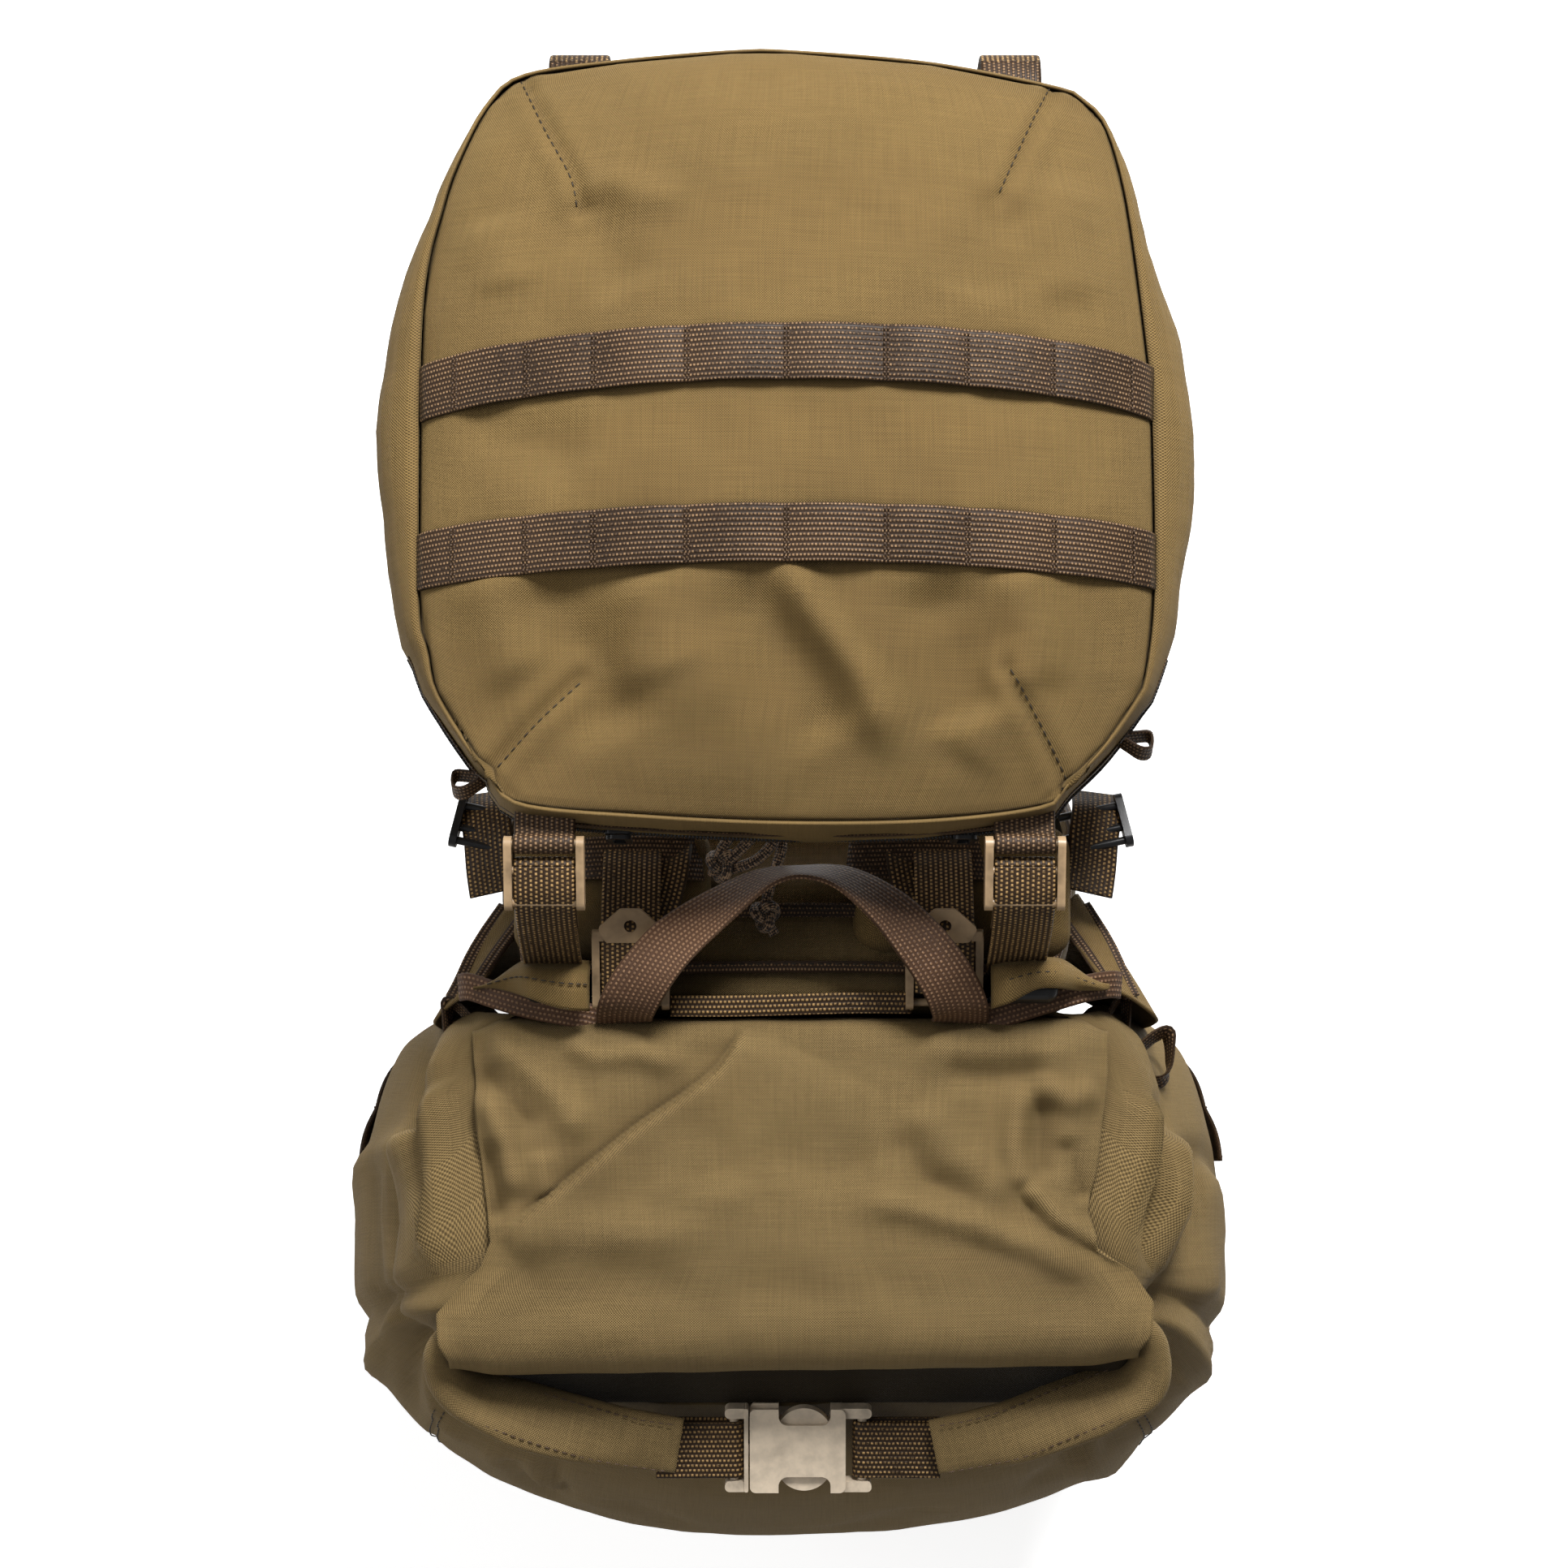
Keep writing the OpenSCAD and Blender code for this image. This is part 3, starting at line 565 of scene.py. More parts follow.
# Two copies of one webbing. In the first, the flecks are painted bright as glints where the webbing is lit.
# The second has dimmer flecks as painted shade, and also serves the lid and side rows, edges, piping and
# bindings.
STRAP_LIT = woven_strap("strap_lit_glints", linear(46, 33, 22), linear(206, 166, 108))
STRAP_SHADED = woven_strap("strap_shaded_dim_glints", linear(44, 31, 21), linear(170, 136, 100), 0.0020, 0.0015, 0.9)
HANDLE_WEB = woven_strap("handle_web", linear(70, 49, 35), linear(166, 130, 98), 0.0021, 0.0019, 0.8)
TAN = moulded("tan_nylon", linear(200, 184, 162), 0.30)
# A darker copy of the tan plastic, for the lid's rear buckles and the lifters' locks.
TAN_DARK = moulded("tan_nylon_darker_copy", linear(160, 134, 102), 0.38)
BLACK = moulded("black_nylon", linear(30, 30, 31), 0.30, 0.05)
CORD = braided_cord("braided_cord", linear(56, 40, 29), linear(196, 160, 124))
METAL = brushed_bar("bare_aluminium")
THREAD_DARK = thread("dark_thread", linear(52, 41, 24))
THREAD_BROWN = thread("brown_thread", linear(84, 62, 42))


# ---- lid ----

LID_MID = pt(0, 349, 0)
SEAM_Z = 714
CROWN = 30
LEFT_SIDE = ((198, -108), (210, -119), (216, -126), (240, -141), (257, -145), (280, -149), (395, -149),
             (440, -141), (463, -133), (482, -123), (494, -109))
RIGHT_SIDE = ((197, 100), (204, 108), (218, 123), (236, 136), (247, 141), (283, 145), (352, 145),
              (382, 143), (440, 136), (472, 128), (484, 118), (489, 107))
NEAR_EDGE = ((-119, 209), (-108, 196), (-57, 191), (0, 188.5), (57, 189.5), (100, 195), (108, 203))
FAR_EDGE = ((-109, 494), (-70, 500), (-24, 504), (0, 504), (57, 499), (107, 489))
GUSSET_OUT = ((200, 1.5), (237, 2.5), (273, 9), (330, 16), (350, 17), (390, 13), (427, 7), (465, 2.5),
              (495, 1.5))
LID_DARTS = (pts((-109, 493, 0), (-98, 468, 0), (-87, 446, 0), (-84, 432, 0)),
             pts((107, 489, 0), (97, 467, 0), (84, 437, 0)),
             pts((-118, 211, 0), (-104, 226, 0), (-84, 245, 0)),
             pts((108, 204, 0), (97, 225, 0), (84, 247, 0)))
LID_FOLDS = (  # path, width and height in mm
    (pts((-8, 292, 0), (8, 268, 0), (26, 244, 0), (42, 208, 0)), 8, 8.0),
    (pts((-22, 288, 0), (-8, 262, 0), (8, 238, 0), (20, 216, 0)), 17, -6.0),
    (pts((56, 286, 0), (60, 262, 0), (66, 240, 0), (72, 222, 0)), 17, -7.0),
    (pts((86, 288, 0), (94, 262, 0), (98, 236, 0)), 10, 5.0),
    (pts((-98, 290, 0), (-88, 266, 0), (-78, 240, 0), (-66, 216, 0)), 17, -7.0),
    (pts((-72, 252, 0), (-50, 242, 0), (-20, 236, 0)), 12, 3.0),
    (pts((-60, 286, 0), (-52, 262, 0), (-44, 240, 0)), 16, 4.0),
    (pts((-122, 290, 0), (-116, 262, 0), (-106, 240, 0)), 12, 4.0),
    (pts((92, 250, 0), (80, 228, 0), (66, 208, 0)), 12, 4.0),
    (pts((-84, 440, 0), (-76, 416, 0), (-64, 394, 0)), 12, -4.0),
    (pts((-82, 446, 0), (-60, 436, 0), (-40, 434, 0)), 8, 2.6),
    (pts((84, 442, 0), (76, 416, 0), (72, 392, 0)), 13, -3.6),
    (pts((112, 450, 0), (108, 420, 0), (112, 390, 0)), 12, 3.4),
    (pts((-132, 356, 0), (-108, 338, 0), (-76, 328, 0)), 13, -3.4),
    (pts((-122, 432, 0), (-114, 396, 0)), 12, 3.0))


def lid_shares(x, y):
    """How far a point in millimetres lies towards the lid's sides and its ends, 1 on the seam."""
    side = lookup(y, RIGHT_SIDE) if x > 0 else -lookup(y, LEFT_SIDE)
    end = lookup(x, FAR_EDGE) - 349 if y > 349 else 349 - lookup(x, NEAR_EDGE)
    return clamp(abs(x) / side), clamp(abs(y - 349) / end)


def lid_rise(x, y, creases=True):
    """Height of the lid's top panel above its seam, in metres; x and y are in millimetres."""
    a, b = lid_shares(x, y)
    across = (1 - a ** (2.8 if x > 0 else 2.2)) ** 0.6
    lengthwise = (1 - b ** 3.0) ** 0.55 if y > 349 else (1 - b ** 2.0) ** 0.95
    rise = CROWN * across * lengthwise
    if creases:
        here = pt(x, y, 0)
        edge = smooth(1 - max(a, b), 0, 0.12)
        for path, width, height in LID_FOLDS:
            rise += edge * fold(here, path, width * MM, height)
        for path in LID_DARTS:
            rise -= 1.6 * math.exp(-(closest(here, path) / 0.0022) ** 2)
            rise += 1.4 * math.exp(-((closest(here, path) - 0.006) / 0.004) ** 2)
        rise += edge * (2.6 * bumps(here, 0.060, 3.1) + 0.9 * bumps(here, 0.020, 7.7))
        rise -= 1.2 * smooth(max(a, b), 0.985, 1.0)
    return rise * MM


def closest(p, path):
    """Distance in the XY plane from p to a path."""
    best = 1e9
    for a, b in zip(path, path[1:]):
        run = (b - a).xy
        t = clamp((p - a).xy.dot(run) / run.length_squared)
        best = min(best, ((a.xy + run * t) - p.xy).length)
    return best


def on_lid(x, y, lift=0.0, creases=True):
    """A point on the lid's top panel; x, y and lift are in millimetres."""
    return pt(x, y, SEAM_Z + lift) + Vector((0, 0, lid_rise(x, y, creases)))


def seam_ring(count=200):
    """The closed seam between the lid's top panel and its gusset, from the near left corner."""
    near = [pt(x, y, SEAM_Z) for x, y in NEAR_EDGE]
    right = [pt(x, y, SEAM_Z) for y, x in RIGHT_SIDE[2:-1]]
    far = [pt(x, y, SEAM_Z) for x, y in reversed(FAR_EDGE)]
    left = [pt(x, y, SEAM_Z) for y, x in reversed(LEFT_SIDE[1:-1])]
    ring = spline(near + right + far + left[:-1] + [near[0]], 8)
    return resample(ring, count + 1)[:-1]


def coons(bottom, right, top, left, n, m):
    """A grid of points inside four curves; bottom and top run the same way, and so do left and right."""
    b, t = resample(bottom, n), resample(top, n)
    l, r = resample(left, m), resample(right, m)
    rows = []
    for i in range(m):
        v = i / (m - 1)
        row = []
        for j in range(n):
            u = j / (n - 1)
            p = b[j] * (1 - v) + t[j] * v + l[i] * (1 - u) + r[i] * u
            p -= b[0] * (1 - u) * (1 - v) + b[-1] * u * (1 - v) + t[0] * (1 - u) * v + t[-1] * u * v
            row.append(p)
        rows.append(row)
    return rows


def lid_panel():
    """The lid's top panel, with its darts, and the stitches along them."""
    near = spline([pt(x, y, 0) for x, y in NEAR_EDGE])
    far = spline([pt(x, y, 0) for x, y in FAR_EDGE])
    left = spline([near[0]] + [pt(x, y, 0) for y, x in LEFT_SIDE[2:-1]] + [far[0]])
    right = spline([near[-1]] + [pt(x, y, 0) for y, x in RIGHT_SIDE[2:-1]] + [far[-1]])
    rows = coons(near, right, far, left, 131, 131)
    for row in rows:
        for p in row:
            p.z = SEAM_Z * MM + lid_rise(p.x / MM, p.y / MM)
    obj = sheet("lid_panel", rows, CLOTH, "lid", 0.0016, replaces=("lid_top_panel",))
    lines = []
    for path in LID_DARTS:
        dense = resample(spline(path), 40)
        shifted = []
        for i, p in enumerate(dense):
            along = tangent(dense, i)
            q = p + Vector((along.y, -along.x, 0)) * 0.0016
            shifted.append(on_lid(q.x / MM, q.y / MM, 0.25))
        lines.append((shifted, UP))
    stitches("lid_dart_stitches", lines, THREAD_DARK, "lid", 0.0024, 0.0016, 0.00026)
    return obj


def lid_gusset():
    """The lid's sides and underside, in rings that start at the seam."""
    ring = seam_ring()
    n = len(ring)
    outs = []
    for i in range(n):
        along = (ring[(i + 1) % n] - ring[i - 1]).normalized()
        outs.append(Vector((along.y, -along.x, 0)))
    profile = ((0.0, 714, 0.0), (0.3, 712.5, 0.1), (0.62, 708, 0.4), (0.88, 702, 0.8), (1.0, 694, 1.6),
               (1.0, 688, 2.0),
               (0.92, 681, 1.5), (0.6, 672, 0), (0.1, 665, -4), (0, 660, -12), (0, 656, -28))
    rings = []
    for share, z, plus in profile:
        row = []
        for p, out in zip(ring, outs):
            w = lookup(p.y / MM, GUSSET_OUT)
            q = p + out * (share * w + plus) * MM
            q.z = z * MM
            ripple = bumps(q, 0.030, 1.7) * 1.6 + bumps(q, 0.012, 5.0) * 0.5
            q += out * ripple * MM * smooth(714 - z, 0, 12)
            row.append(q)
        rings.append(row)
    for scale, z in ((0.66, 654.5), (0.42, 654), (0.18, 654), (0.04, 654)):
        rings.append([LID_MID + (p - LID_MID) * scale for p in rings[9]])
        for q in rings[-1]:
            q.z = z * MM + bumps(q, 0.05, 9.0) * 0.002
    rows = [list(r) + [r[0].copy()] for r in rings]
    obj = sheet("lid_sides", rows, CLOTH, "lid", 0.0014, replaces=("lid_gusset", "lid_underside"))
    weld(obj)
    seam = [p + o * 0.0012 + Vector((0, 0, -0.0016)) for p, o in zip(rings[0], outs)]
    ups = [(o + Vector((0, 0, 0.8))).normalized() for o in outs]
    side = [i for i in range(n) if abs(ring[i].x) > 0.118]
    runs = []
    for keep in (lambda i: ring[i].x < 0, lambda i: ring[i].x > 0):
        run = [i for i in side if keep(i)]
        runs.append(([seam[i] for i in run], [ups[i] for i in run]))
    stitches("lid_seam_stitches", runs, THREAD_DARK, "lid", 0.0024, 0.0014, 0.0002)
    return ring, outs


TACKS = (-135, -106, -77, -42, -3, 36, 70, 103, 135)


def ladder_row(near_y, bow, left, right):
    """A webbing row across the lid: tacked down, lifting a little between the tacks."""
    path = []
    for k in range(121):
        x = left + (right - left) * k / 120
        y = near_y - bow * (x / 140) ** 2
        lift = 0.0
        for a, b in zip(TACKS, TACKS[1:]):
            if a <= x <= b:
                lift = math.sin(math.pi * (x - a) / (b - a)) ** 0.7 * (2.0 if abs(x) < 80 else 1.4)
        path.append(on_lid(x, y, 1.3 + lift, False))
    return path


def lid_webbing():
    """The two webbing rows across the lid and the tacks that hold them."""
    rows = (ladder_row(371, 9, -149, 145), ladder_row(299, 6, -149, 145))
    strips = []
    bars = []
    for path in rows:
        sides = []
        for p in path:
            x, y = p.x / MM, p.y / MM
            slope = on_lid(x, y + 8, 0, False) - on_lid(x, y - 8, 0, False)
            sides.append(slope.normalized())
        strips.append((path, sides, 0.0232))
        for x in TACKS:
            i = min(range(len(path)), key=lambda k: abs(path[k].x - x * MM))
            for shift in (-0.0007, 0.0007):
                middle = path[i] + Vector((shift, 0, 0.0011))
                bars.append(([middle - sides[i] * 0.0108, middle, middle + sides[i] * 0.0108], UP))
    ribbons("lid_webbing_rows", strips, STRAP_SHADED, "lid", replaces=("lid_pals",))
    stitches("lid_row_tacks", bars, THREAD_BROWN, "lid", 0.0016, 0.0003, 0.00045)


def loop_path(centre, radius, start, end, steps=14):
    """Part of a circle in the YZ plane, from angle start to end in degrees; 0 is +Y, 90 is +Z."""
    out = []
    for k in range(steps + 1):
        a = math.radians(start + (end - start) * k / steps)
        out.append(centre + Vector((0, math.cos(a), math.sin(a))) * radius)
    return out


LID_STRAPS = (-98.5, 93)
LID_PIVOT = (180, 708)


def lid_straps():
    """The two rear straps: the lid's loop on the pivot bar, and the webbing down to the pack."""
    loops, lowers = [], []
    for x in LID_STRAPS:
        centre = pt(x, *LID_PIVOT)
        ring = loop_path(centre, 3.2 * MM, 268, -80, 20)
        tail = at_x(x, (188, 704.6), (196, 704.2), (205, 703), (213, 700))
        loops.append((spline([ring[-1]] + tail, 4), X_AXIS))
        loops.append((ring, X_AXIS))
        low = at_x(x, (133, 628), (134, 642), (137, 657), (142, 673), (148, 688), (154, 698.5),
                   (160, 703.5), (167, 705.8), (171, 706.6))
        lowers.append((spline(low, 6), X_AXIS))
        under = at_x(x, (168, 699.5), (160, 696), (154, 689), (149, 678))
        lowers.append((spline(under, 6), X_AXIS))
        fold_over = loop_path(pt(x, 171.5, 703.2), 3.0 * MM, 100, -80, 10)
        lowers.append((fold_over, X_AXIS))
    # The loops under the lid take the shaded copy of the webbing, and the run down to the pack takes the
    # lit copy: painted shade and painted glints on one strap.
    ribbons("lid_strap_loops", loops, STRAP_SHADED, "lid", width=24.4 * MM, replaces=("lid_edge_webs",))
    ribbons("lid_strap_lower", lowers, STRAP_LIT, "pack", width=24.4 * MM, replaces=("lid_rear_straps",))


def lid_front_straps():
    """Webbing ends that hang from the lid's far edge, each with a buckle half."""
    for side, x in (("left", -88), ("right", 91)):
        path = at_x(x, (470, 694), (486, 697.5), (498, 698), (507, 695), (512, 688), (512.5, 675),
                    (512, 658), (511.5, 648))
        body = "lid_buckle_" + side
        hang = spline(path[3:], 6)
        ribbons("lid_front_web_%s_cloth" % side, [(hang, X_AXIS)], STRAP_LIT, body,
                replaces=("lid_front_web_" + side,))
        ribbons("lid_front_stub_" + side, [(spline(path[:4], 6), X_AXIS)], STRAP_SHADED, "lid")


def pull_loops():
    """Small folded tapes at the lid's near corners."""
    strips = []
    for x, y, out in ((-124, 206, -1), (133, 222, 1)):
        path = pts((x, y, 700), (x + out * 7, y - 4, 699), (x + out * 12, y - 3, 695),
                   (x + out * 12, y + 3, 692),
                   (x + out * 6, y + 3, 693), (x, y + 2, 694))
        strips.append((spline(path, 5), Vector((0, 0.55, 1)), 0.008))
    ribbons("lid_pull_loops", strips, STRAP_SHADED, "lid", thickness=0.0011)


def lid_zip(ring, outs):
    """A coil zip on its tape, round the lid's near edge and corners."""
    n = len(ring)
    spots = [i for i in list(range(n - 14, n)) + list(range(0, 78)) if ring[i % n].y < 0.262]
    path, ups = [], []
    for i in spots:
        w = lookup(ring[i].y / MM, GUSSET_OUT)
        path.append(ring[i] + outs[i] * (w + 2.6) * MM - Vector((0, 0, 26 * MM)))
        ups.append(UP)
    ribbons("lid_zip_tape", [(path, ups, 0.022)], STRAP_SHADED, "lid", thickness=0.0008,
            replaces=("lid_zip_track",), slot="black_plastic")
    coil = [p + outs[i] * 0.0008 for p, i in zip(path, spots)]
    verts, faces = [], []
    dense = resample(coil, 260)
    for i, p in enumerate(dense):
        along = tangent(dense, i)
        out = Vector((along.y, -along.x, 0))
        block(verts, faces, p, along * 0.0005, out * 0.0007, Vector((0, 0, 0.0024)))
    piece("lid_zip_teeth", verts, faces, BLACK, "lid", slot="black_plastic")


def block(verts, faces, centre, x, y, z):
    """Adds a small box to verts and faces, with half sizes along three directions."""
    start = len(verts)
    for sx in (-1, 1):
        for sy in (-1, 1):
            for sz in (-1, 1):
                verts.append(centre + x * sx + y * sy + z * sz)
    for f in ((0, 1, 3, 2), (4, 6, 7, 5), (0, 4, 5, 1), (2, 3, 7, 6), (0, 2, 6, 4), (1, 5, 7, 3)):
        faces.append(tuple(start + k for k in f))


# ---- bag ----

BAG_H = 636
HALF_W = 201
MID_Y = 9
FRONT_D = 130
REAR_D = 109
BAG_WIDTH = ((0, 0.69), (0.02, 0.77), (0.08, 0.88), (0.25, 0.955), (0.5, 0.985), (0.74, 1), (0.8, 0.985),
             (0.86, 0.94), (0.91, 0.87), (0.95, 0.79), (1, 0.70))
BAG_DEPTH = ((0, 0.68), (0.02, 0.79), (0.08, 0.91), (0.25, 0.98), (0.45, 1), (0.64, 1), (0.72, 0.975),
             (0.79, 0.90),
             (0.84, 0.80), (0.87, 0.72), (0.905, 0.565), (0.935, 0.42), (1, 0.33))
BAG_REAR = ((0, 0.84), (0.02, 0.93), (0.06, 1), (1, 1))


def eased(h, table):
    """A table's value averaged over a short height, so that the profile has no corners."""
    return sum(lookup(h + d, table) for d in (-0.024, -0.012, 0.0, 0.012, 0.024)) / 5


def power(v, p):
    """v to the power p, keeping its sign."""
    return math.copysign(abs(v) ** p, v)


def bag_point(a, z, grow=0.0):
    """Millimetre coordinates of the plain bag surface at angle a in degrees and height z."""
    h = z / BAG_H
    c, s = math.cos(math.radians(a)), math.sin(math.radians(a))
    n = 2.35 if s < 0 else 2.9 + 1.3 * smooth(z, 480, 560)
    rx = HALF_W * eased(h, BAG_WIDTH) + grow
    ry = (FRONT_D * eased(h, BAG_DEPTH) if s < 0 else REAR_D * lookup(h, BAG_REAR)) + grow
    return rx * power(c, 2 / n), MID_Y + ry * power(s, 2 / n), z


def mouth_z(a):
    """Height of the bag's upper edge at angle a, lower at the front."""
    return BAG_H - 38 * (1 - math.sin(math.radians(a))) / 2


BAG_CREASES = (  # angle and height at the start and end of a crease, its width and depth in mm
    ((186, 610), (192, 430), 7, -5), ((193, 604), (203, 470), 8, 6), ((201, 600), (214, 500), 7, -6),
    ((208, 590), (226, 520), 9, 5), ((218, 585), (238, 545), 8, -5), ((168, 610), (172, 470), 9, 4),
    ((352, 610), (346, 430), 8, -6), ((344, 606), (335, 480), 8, 6), ((337, 600), (322, 520), 8, -6),
    ((327, 590), (306, 548), 9, 5), ((12, 600), (8, 480), 8, -4), ((318, 575), (296, 500), 8, -4),
    ((250, 520), (262, 470), 9, -3), ((285, 515), (272, 460), 10, -3), ((232, 540), (243, 470), 6, -5),
    ((306, 545), (318, 440), 10, 5), ((196, 400), (222, 330), 14, -4), ((340, 390), (318, 300), 14, -4),
    ((240, 300), (286, 270), 18, 3), ((250, 160), (292, 190), 18, -3))


def bag_crease(a, z):
    """Push of the bag's creases in millimetres, at angle a in degrees and height z."""
    total = 0.0
    for (a0, z0), (a1, z1), width, depth in BAG_CREASES:
        here = Vector((a * 2.6, z))
        start, run = Vector((a0 * 2.6, z0)), Vector(((a1 - a0) * 2.6, z1 - z0))
        t = clamp((here - start).dot(run) / run.length_squared)
        away = (start + run * t - here).length
        fade = smooth(t, 0, 0.15) * (1 - smooth(t, 0.6, 1))
        total += depth * fade * math.exp(-(away / width) ** 2)
    return total


TOP_FOLDS = (  # seen from above: path, width in mm, height in mm
    (pts((-138, 118, 0), (-150, 71, 0), (-149, 36, 0), (-147, 5, 0)), 6, 7),
    (pts((-156, 112, 0), (-161, 87, 0), (-155, 58, 0), (-150, 28, 0)), 4, -6),
    (pts((-164, 82, 0), (-172, 30, 0), (-167, -25, 0)), 7, 5),
    (pts((-182, 70, 0), (-184, 20, 0), (-176, -30, 0)), 5, -4),
    (pts((140, 84, 0), (147, 71, 0), (146, 46, 0), (140, 27, 0)), 5, 8),
    (pts((154, 87, 0), (157, 59, 0), (153, 27, 0), (151, 8, 0)), 4, -8),
    (pts((165, 72, 0), (161, 37, 0), (157, 5, 0)), 6, 6),
    (pts((178, 66, 0), (175, 37, 0), (168, 11, 0), (155, -17, 0)), 3.5, -7),
    (pts((188, 31, 0), (172, 8, 0), (155, -20, 0)), 8, -6),
    (pts((186, 60, 0), (188, 20, 0), (180, -10, 0)), 8, 4),
    (pts((150, -30, 0), (153, -57, 0), (137, -78, 0)), 6, -7),
    (pts((152, -32, 0), (166, -40, 0), (178, -46, 0)), 5, 5),
    (pts((-140, -70, 0), (-120, -84, 0), (-100, -92, 0)), 6, 4),
    (pts((-104, -70, 0), (-106, -84, 0), (-101, -100, 0)), 4, -6))


def drape(p, strength):
    """Height in metres of the folds in the bag's upper cloth, at a point seen from above."""
    return sum(fold(p, path, width * MM, height) for path, width, height in TOP_FOLDS) * MM * strength


def bag_surface(a, z, grow=0.0):
    """The filled bag as sewn: creases, soft lumps and slight grooves at its seams."""
    x, y, _ = bag_point(a, z, grow)
    here = pt(x, y, z)
    lump = 2.2 * bumps(here, 0.09, 2.0) + 1.1 * bumps(here, 0.035, 4.0) + 0.4 * bumps(here, 0.014, 6.0)
    back = smooth(math.sin(math.radians(a)), 0.55, 0.8)
    push = bag_crease(a % 360, z) + lump * (1 - 0.8 * back)
    for seam in (218, 322):
        push -= 1.5 * math.exp(-((a % 360 - seam) / 0.9) ** 2)
    push -= 1.5 * math.exp(-((z - 62) / 2.5) ** 2)
    c, s = math.cos(math.radians(a)), math.sin(math.radians(a))
    corner = smooth(abs(here.x) / MM, 121, 138) * smooth(s, 0.25, 0.6)
    here.y += 15 * MM * corner * smooth(z, 60, 200)
    push *= smooth(z, 0, 20)
    out = Vector((c / HALF_W, s / FRONT_D, 0)).normalized()
    return here + out * (push * MM + drape(here, 0.8 * smooth(z, 400, 540)))


def collar_ring_point(a):
    """Where the bag's side meets the roll-top collar, for angle a."""
    c, s = math.cos(math.radians(a)), math.sin(math.radians(a))
    y = 45 + (76 if s > 0 else 70) * power(s, 0.28)
    x = (lookup(y, COLLAR_LEFT) if c < 0 else lookup(y, COLLAR_RIGHT)) * 0.97 * power(c, 0.28)
    if y < 18:
        x *= 0.9
    z = 641 if s > -0.2 else 641 - 45 * smooth(-s, 0.2, 0.8)
    return pt(x, y, z)


def bag_shell():
    """One lofted shell from the ground to the collar."""
    cols = 220
    heights = [0, 3, 8, 16, 28, 44, 56, 62, 68] + list(range(80, 420, 12)) + list(range(420, 600, 5))
    rows = []
    for z in heights:
        row = []
        for k in range(cols + 1):
            a = 90 + 360 * k / cols
            row.append(bag_surface(a, min(z, mouth_z(a) - 2)))
        rows.append(row)
    last = rows[-1]
    for i in range(1, 13):
        t = i / 12
        row = []
        for k in range(cols + 1):
            a = 90 + 360 * k / cols
            low, high = last[k], collar_ring_point(a)
            turn = t * math.pi / 2
            level = low.lerp(high, 1 - math.cos(turn))
            level.z = low.z + (high.z - low.z) * math.sin(turn)
            pleat = bumps(level, 0.022, 8.0) * 0.0028 * math.sin(math.pi * t)
            push = pleat + drape(level, 1 - smooth(t, 0.75, 1))
            level += (level - pt(0, 30, 600)).normalized() * push
            row.append(level)
        rows.append(row)
    base = []
    for s in (0.02, 0.4, 0.8, 0.97):
        lift = 0.0008 + 0.0015 * (1 - s)
        base.append([Vector((p.x * s, 0.009 + (p.y - 0.009) * s, lift)) for p in rows[0]])
    obj = sheet("bag_shell", base + rows, CLOTH_BAG, None, 0.0,
                replaces=("front_panel", "side_panels", "back_panel", "base_panel"))
    weld(obj)
    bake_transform(obj)
    lines = []
    for seam in (218, 322):
        for d in (-0.9, 0.9):
            path = [bag_surface(seam + d, z, 0.3) for z in range(70, 560, 4)]
            out = Vector((math.cos(math.radians(seam)), math.sin(math.radians(seam)), 0))
            lines.append((path, out))
    ring = [bag_surface(a, 66, 0.3) for a in range(135, 405, 2)]
    outward = [math.radians(a) for a in range(135, 405, 2)]
    lines.append((ring, [Vector((math.cos(a), math.sin(a), 0)) for a in outward]))
    stitches("bag_seam_stitches", lines, THREAD_DARK, "pack", 0.0028, 0.0014, 0.0003)


# ---- roll-top ----

COLLAR_FOLDS = (
    (pts((-129, 107, 0), (-112, 95, 0), (-94, 78, 0), (-84, 62, 0)), 5, 4.0),
    (pts((-130, 96, 0), (-118, 78, 0), (-104, 66, 0)), 4, -3.0),
    (pts((-96, 106, 0), (-81, 98, 0), (-63, 99, 0), (-42, 93, 0)), 4, 3.5),
    (pts((-128, 86, 0), (-119, 62, 0), (-112, 38, 0)), 4, 4.0),
    (pts((-124, 66, 0), (-121, 44, 0), (-120, 28, 0)), 3.5, -4.0),
    (pts((-104, 60, 0), (-102, 48, 0), (-98, 40, 0)), 4, 2.5),
    (pts((-122, 20, 0), (-98, 26, 0), (-68, 24, 0), (-30, 26, 0)), 7, 3.5),
    (pts((50, 80, 0), (66, 56, 0), (92, 38, 0)), 7, 3.5),
    (pts((40, 70, 0), (56, 46, 0), (84, 40, 0)), 6, -2.5),
    (pts((20, 37, 0), (48, 37, 0), (75, 29, 0), (100, 20, 0), (134, 2, 0)), 5, 4.5),
    (pts((95, 90, 0), (92, 60, 0), (96, 42, 0)), 4, 4.0),
    (pts((104, 84, 0), (102, 62, 0), (104, 46, 0)), 5, -3.5),
    (pts((97, 90, 0), (115, 80, 0), (128, 84, 0)), 4, 3.0),
    (pts((95, 38, 0), (100, 42, 0), (109, 32, 0), (129, 20, 0), (138, 8, 0)), 3, 4.5),
    (pts((52, 104, 0), (75, 100, 0), (97, 102, 0), (121, 97, 0)), 6, 3.5),
    (pts((60, 92, 0), (84, 90, 0), (110, 92, 0)), 5, -2.5),
    (pts((112, 66, 0), (116, 50, 0), (120, 36, 0)), 4, -3.5),
    (pts((-20, 60, 0), (10, 52, 0), (40, 56, 0)), 9, -2.0),
    (pts((-60, 46, 0), (-40, 40, 0), (-10, 42, 0)), 6, 1.8))
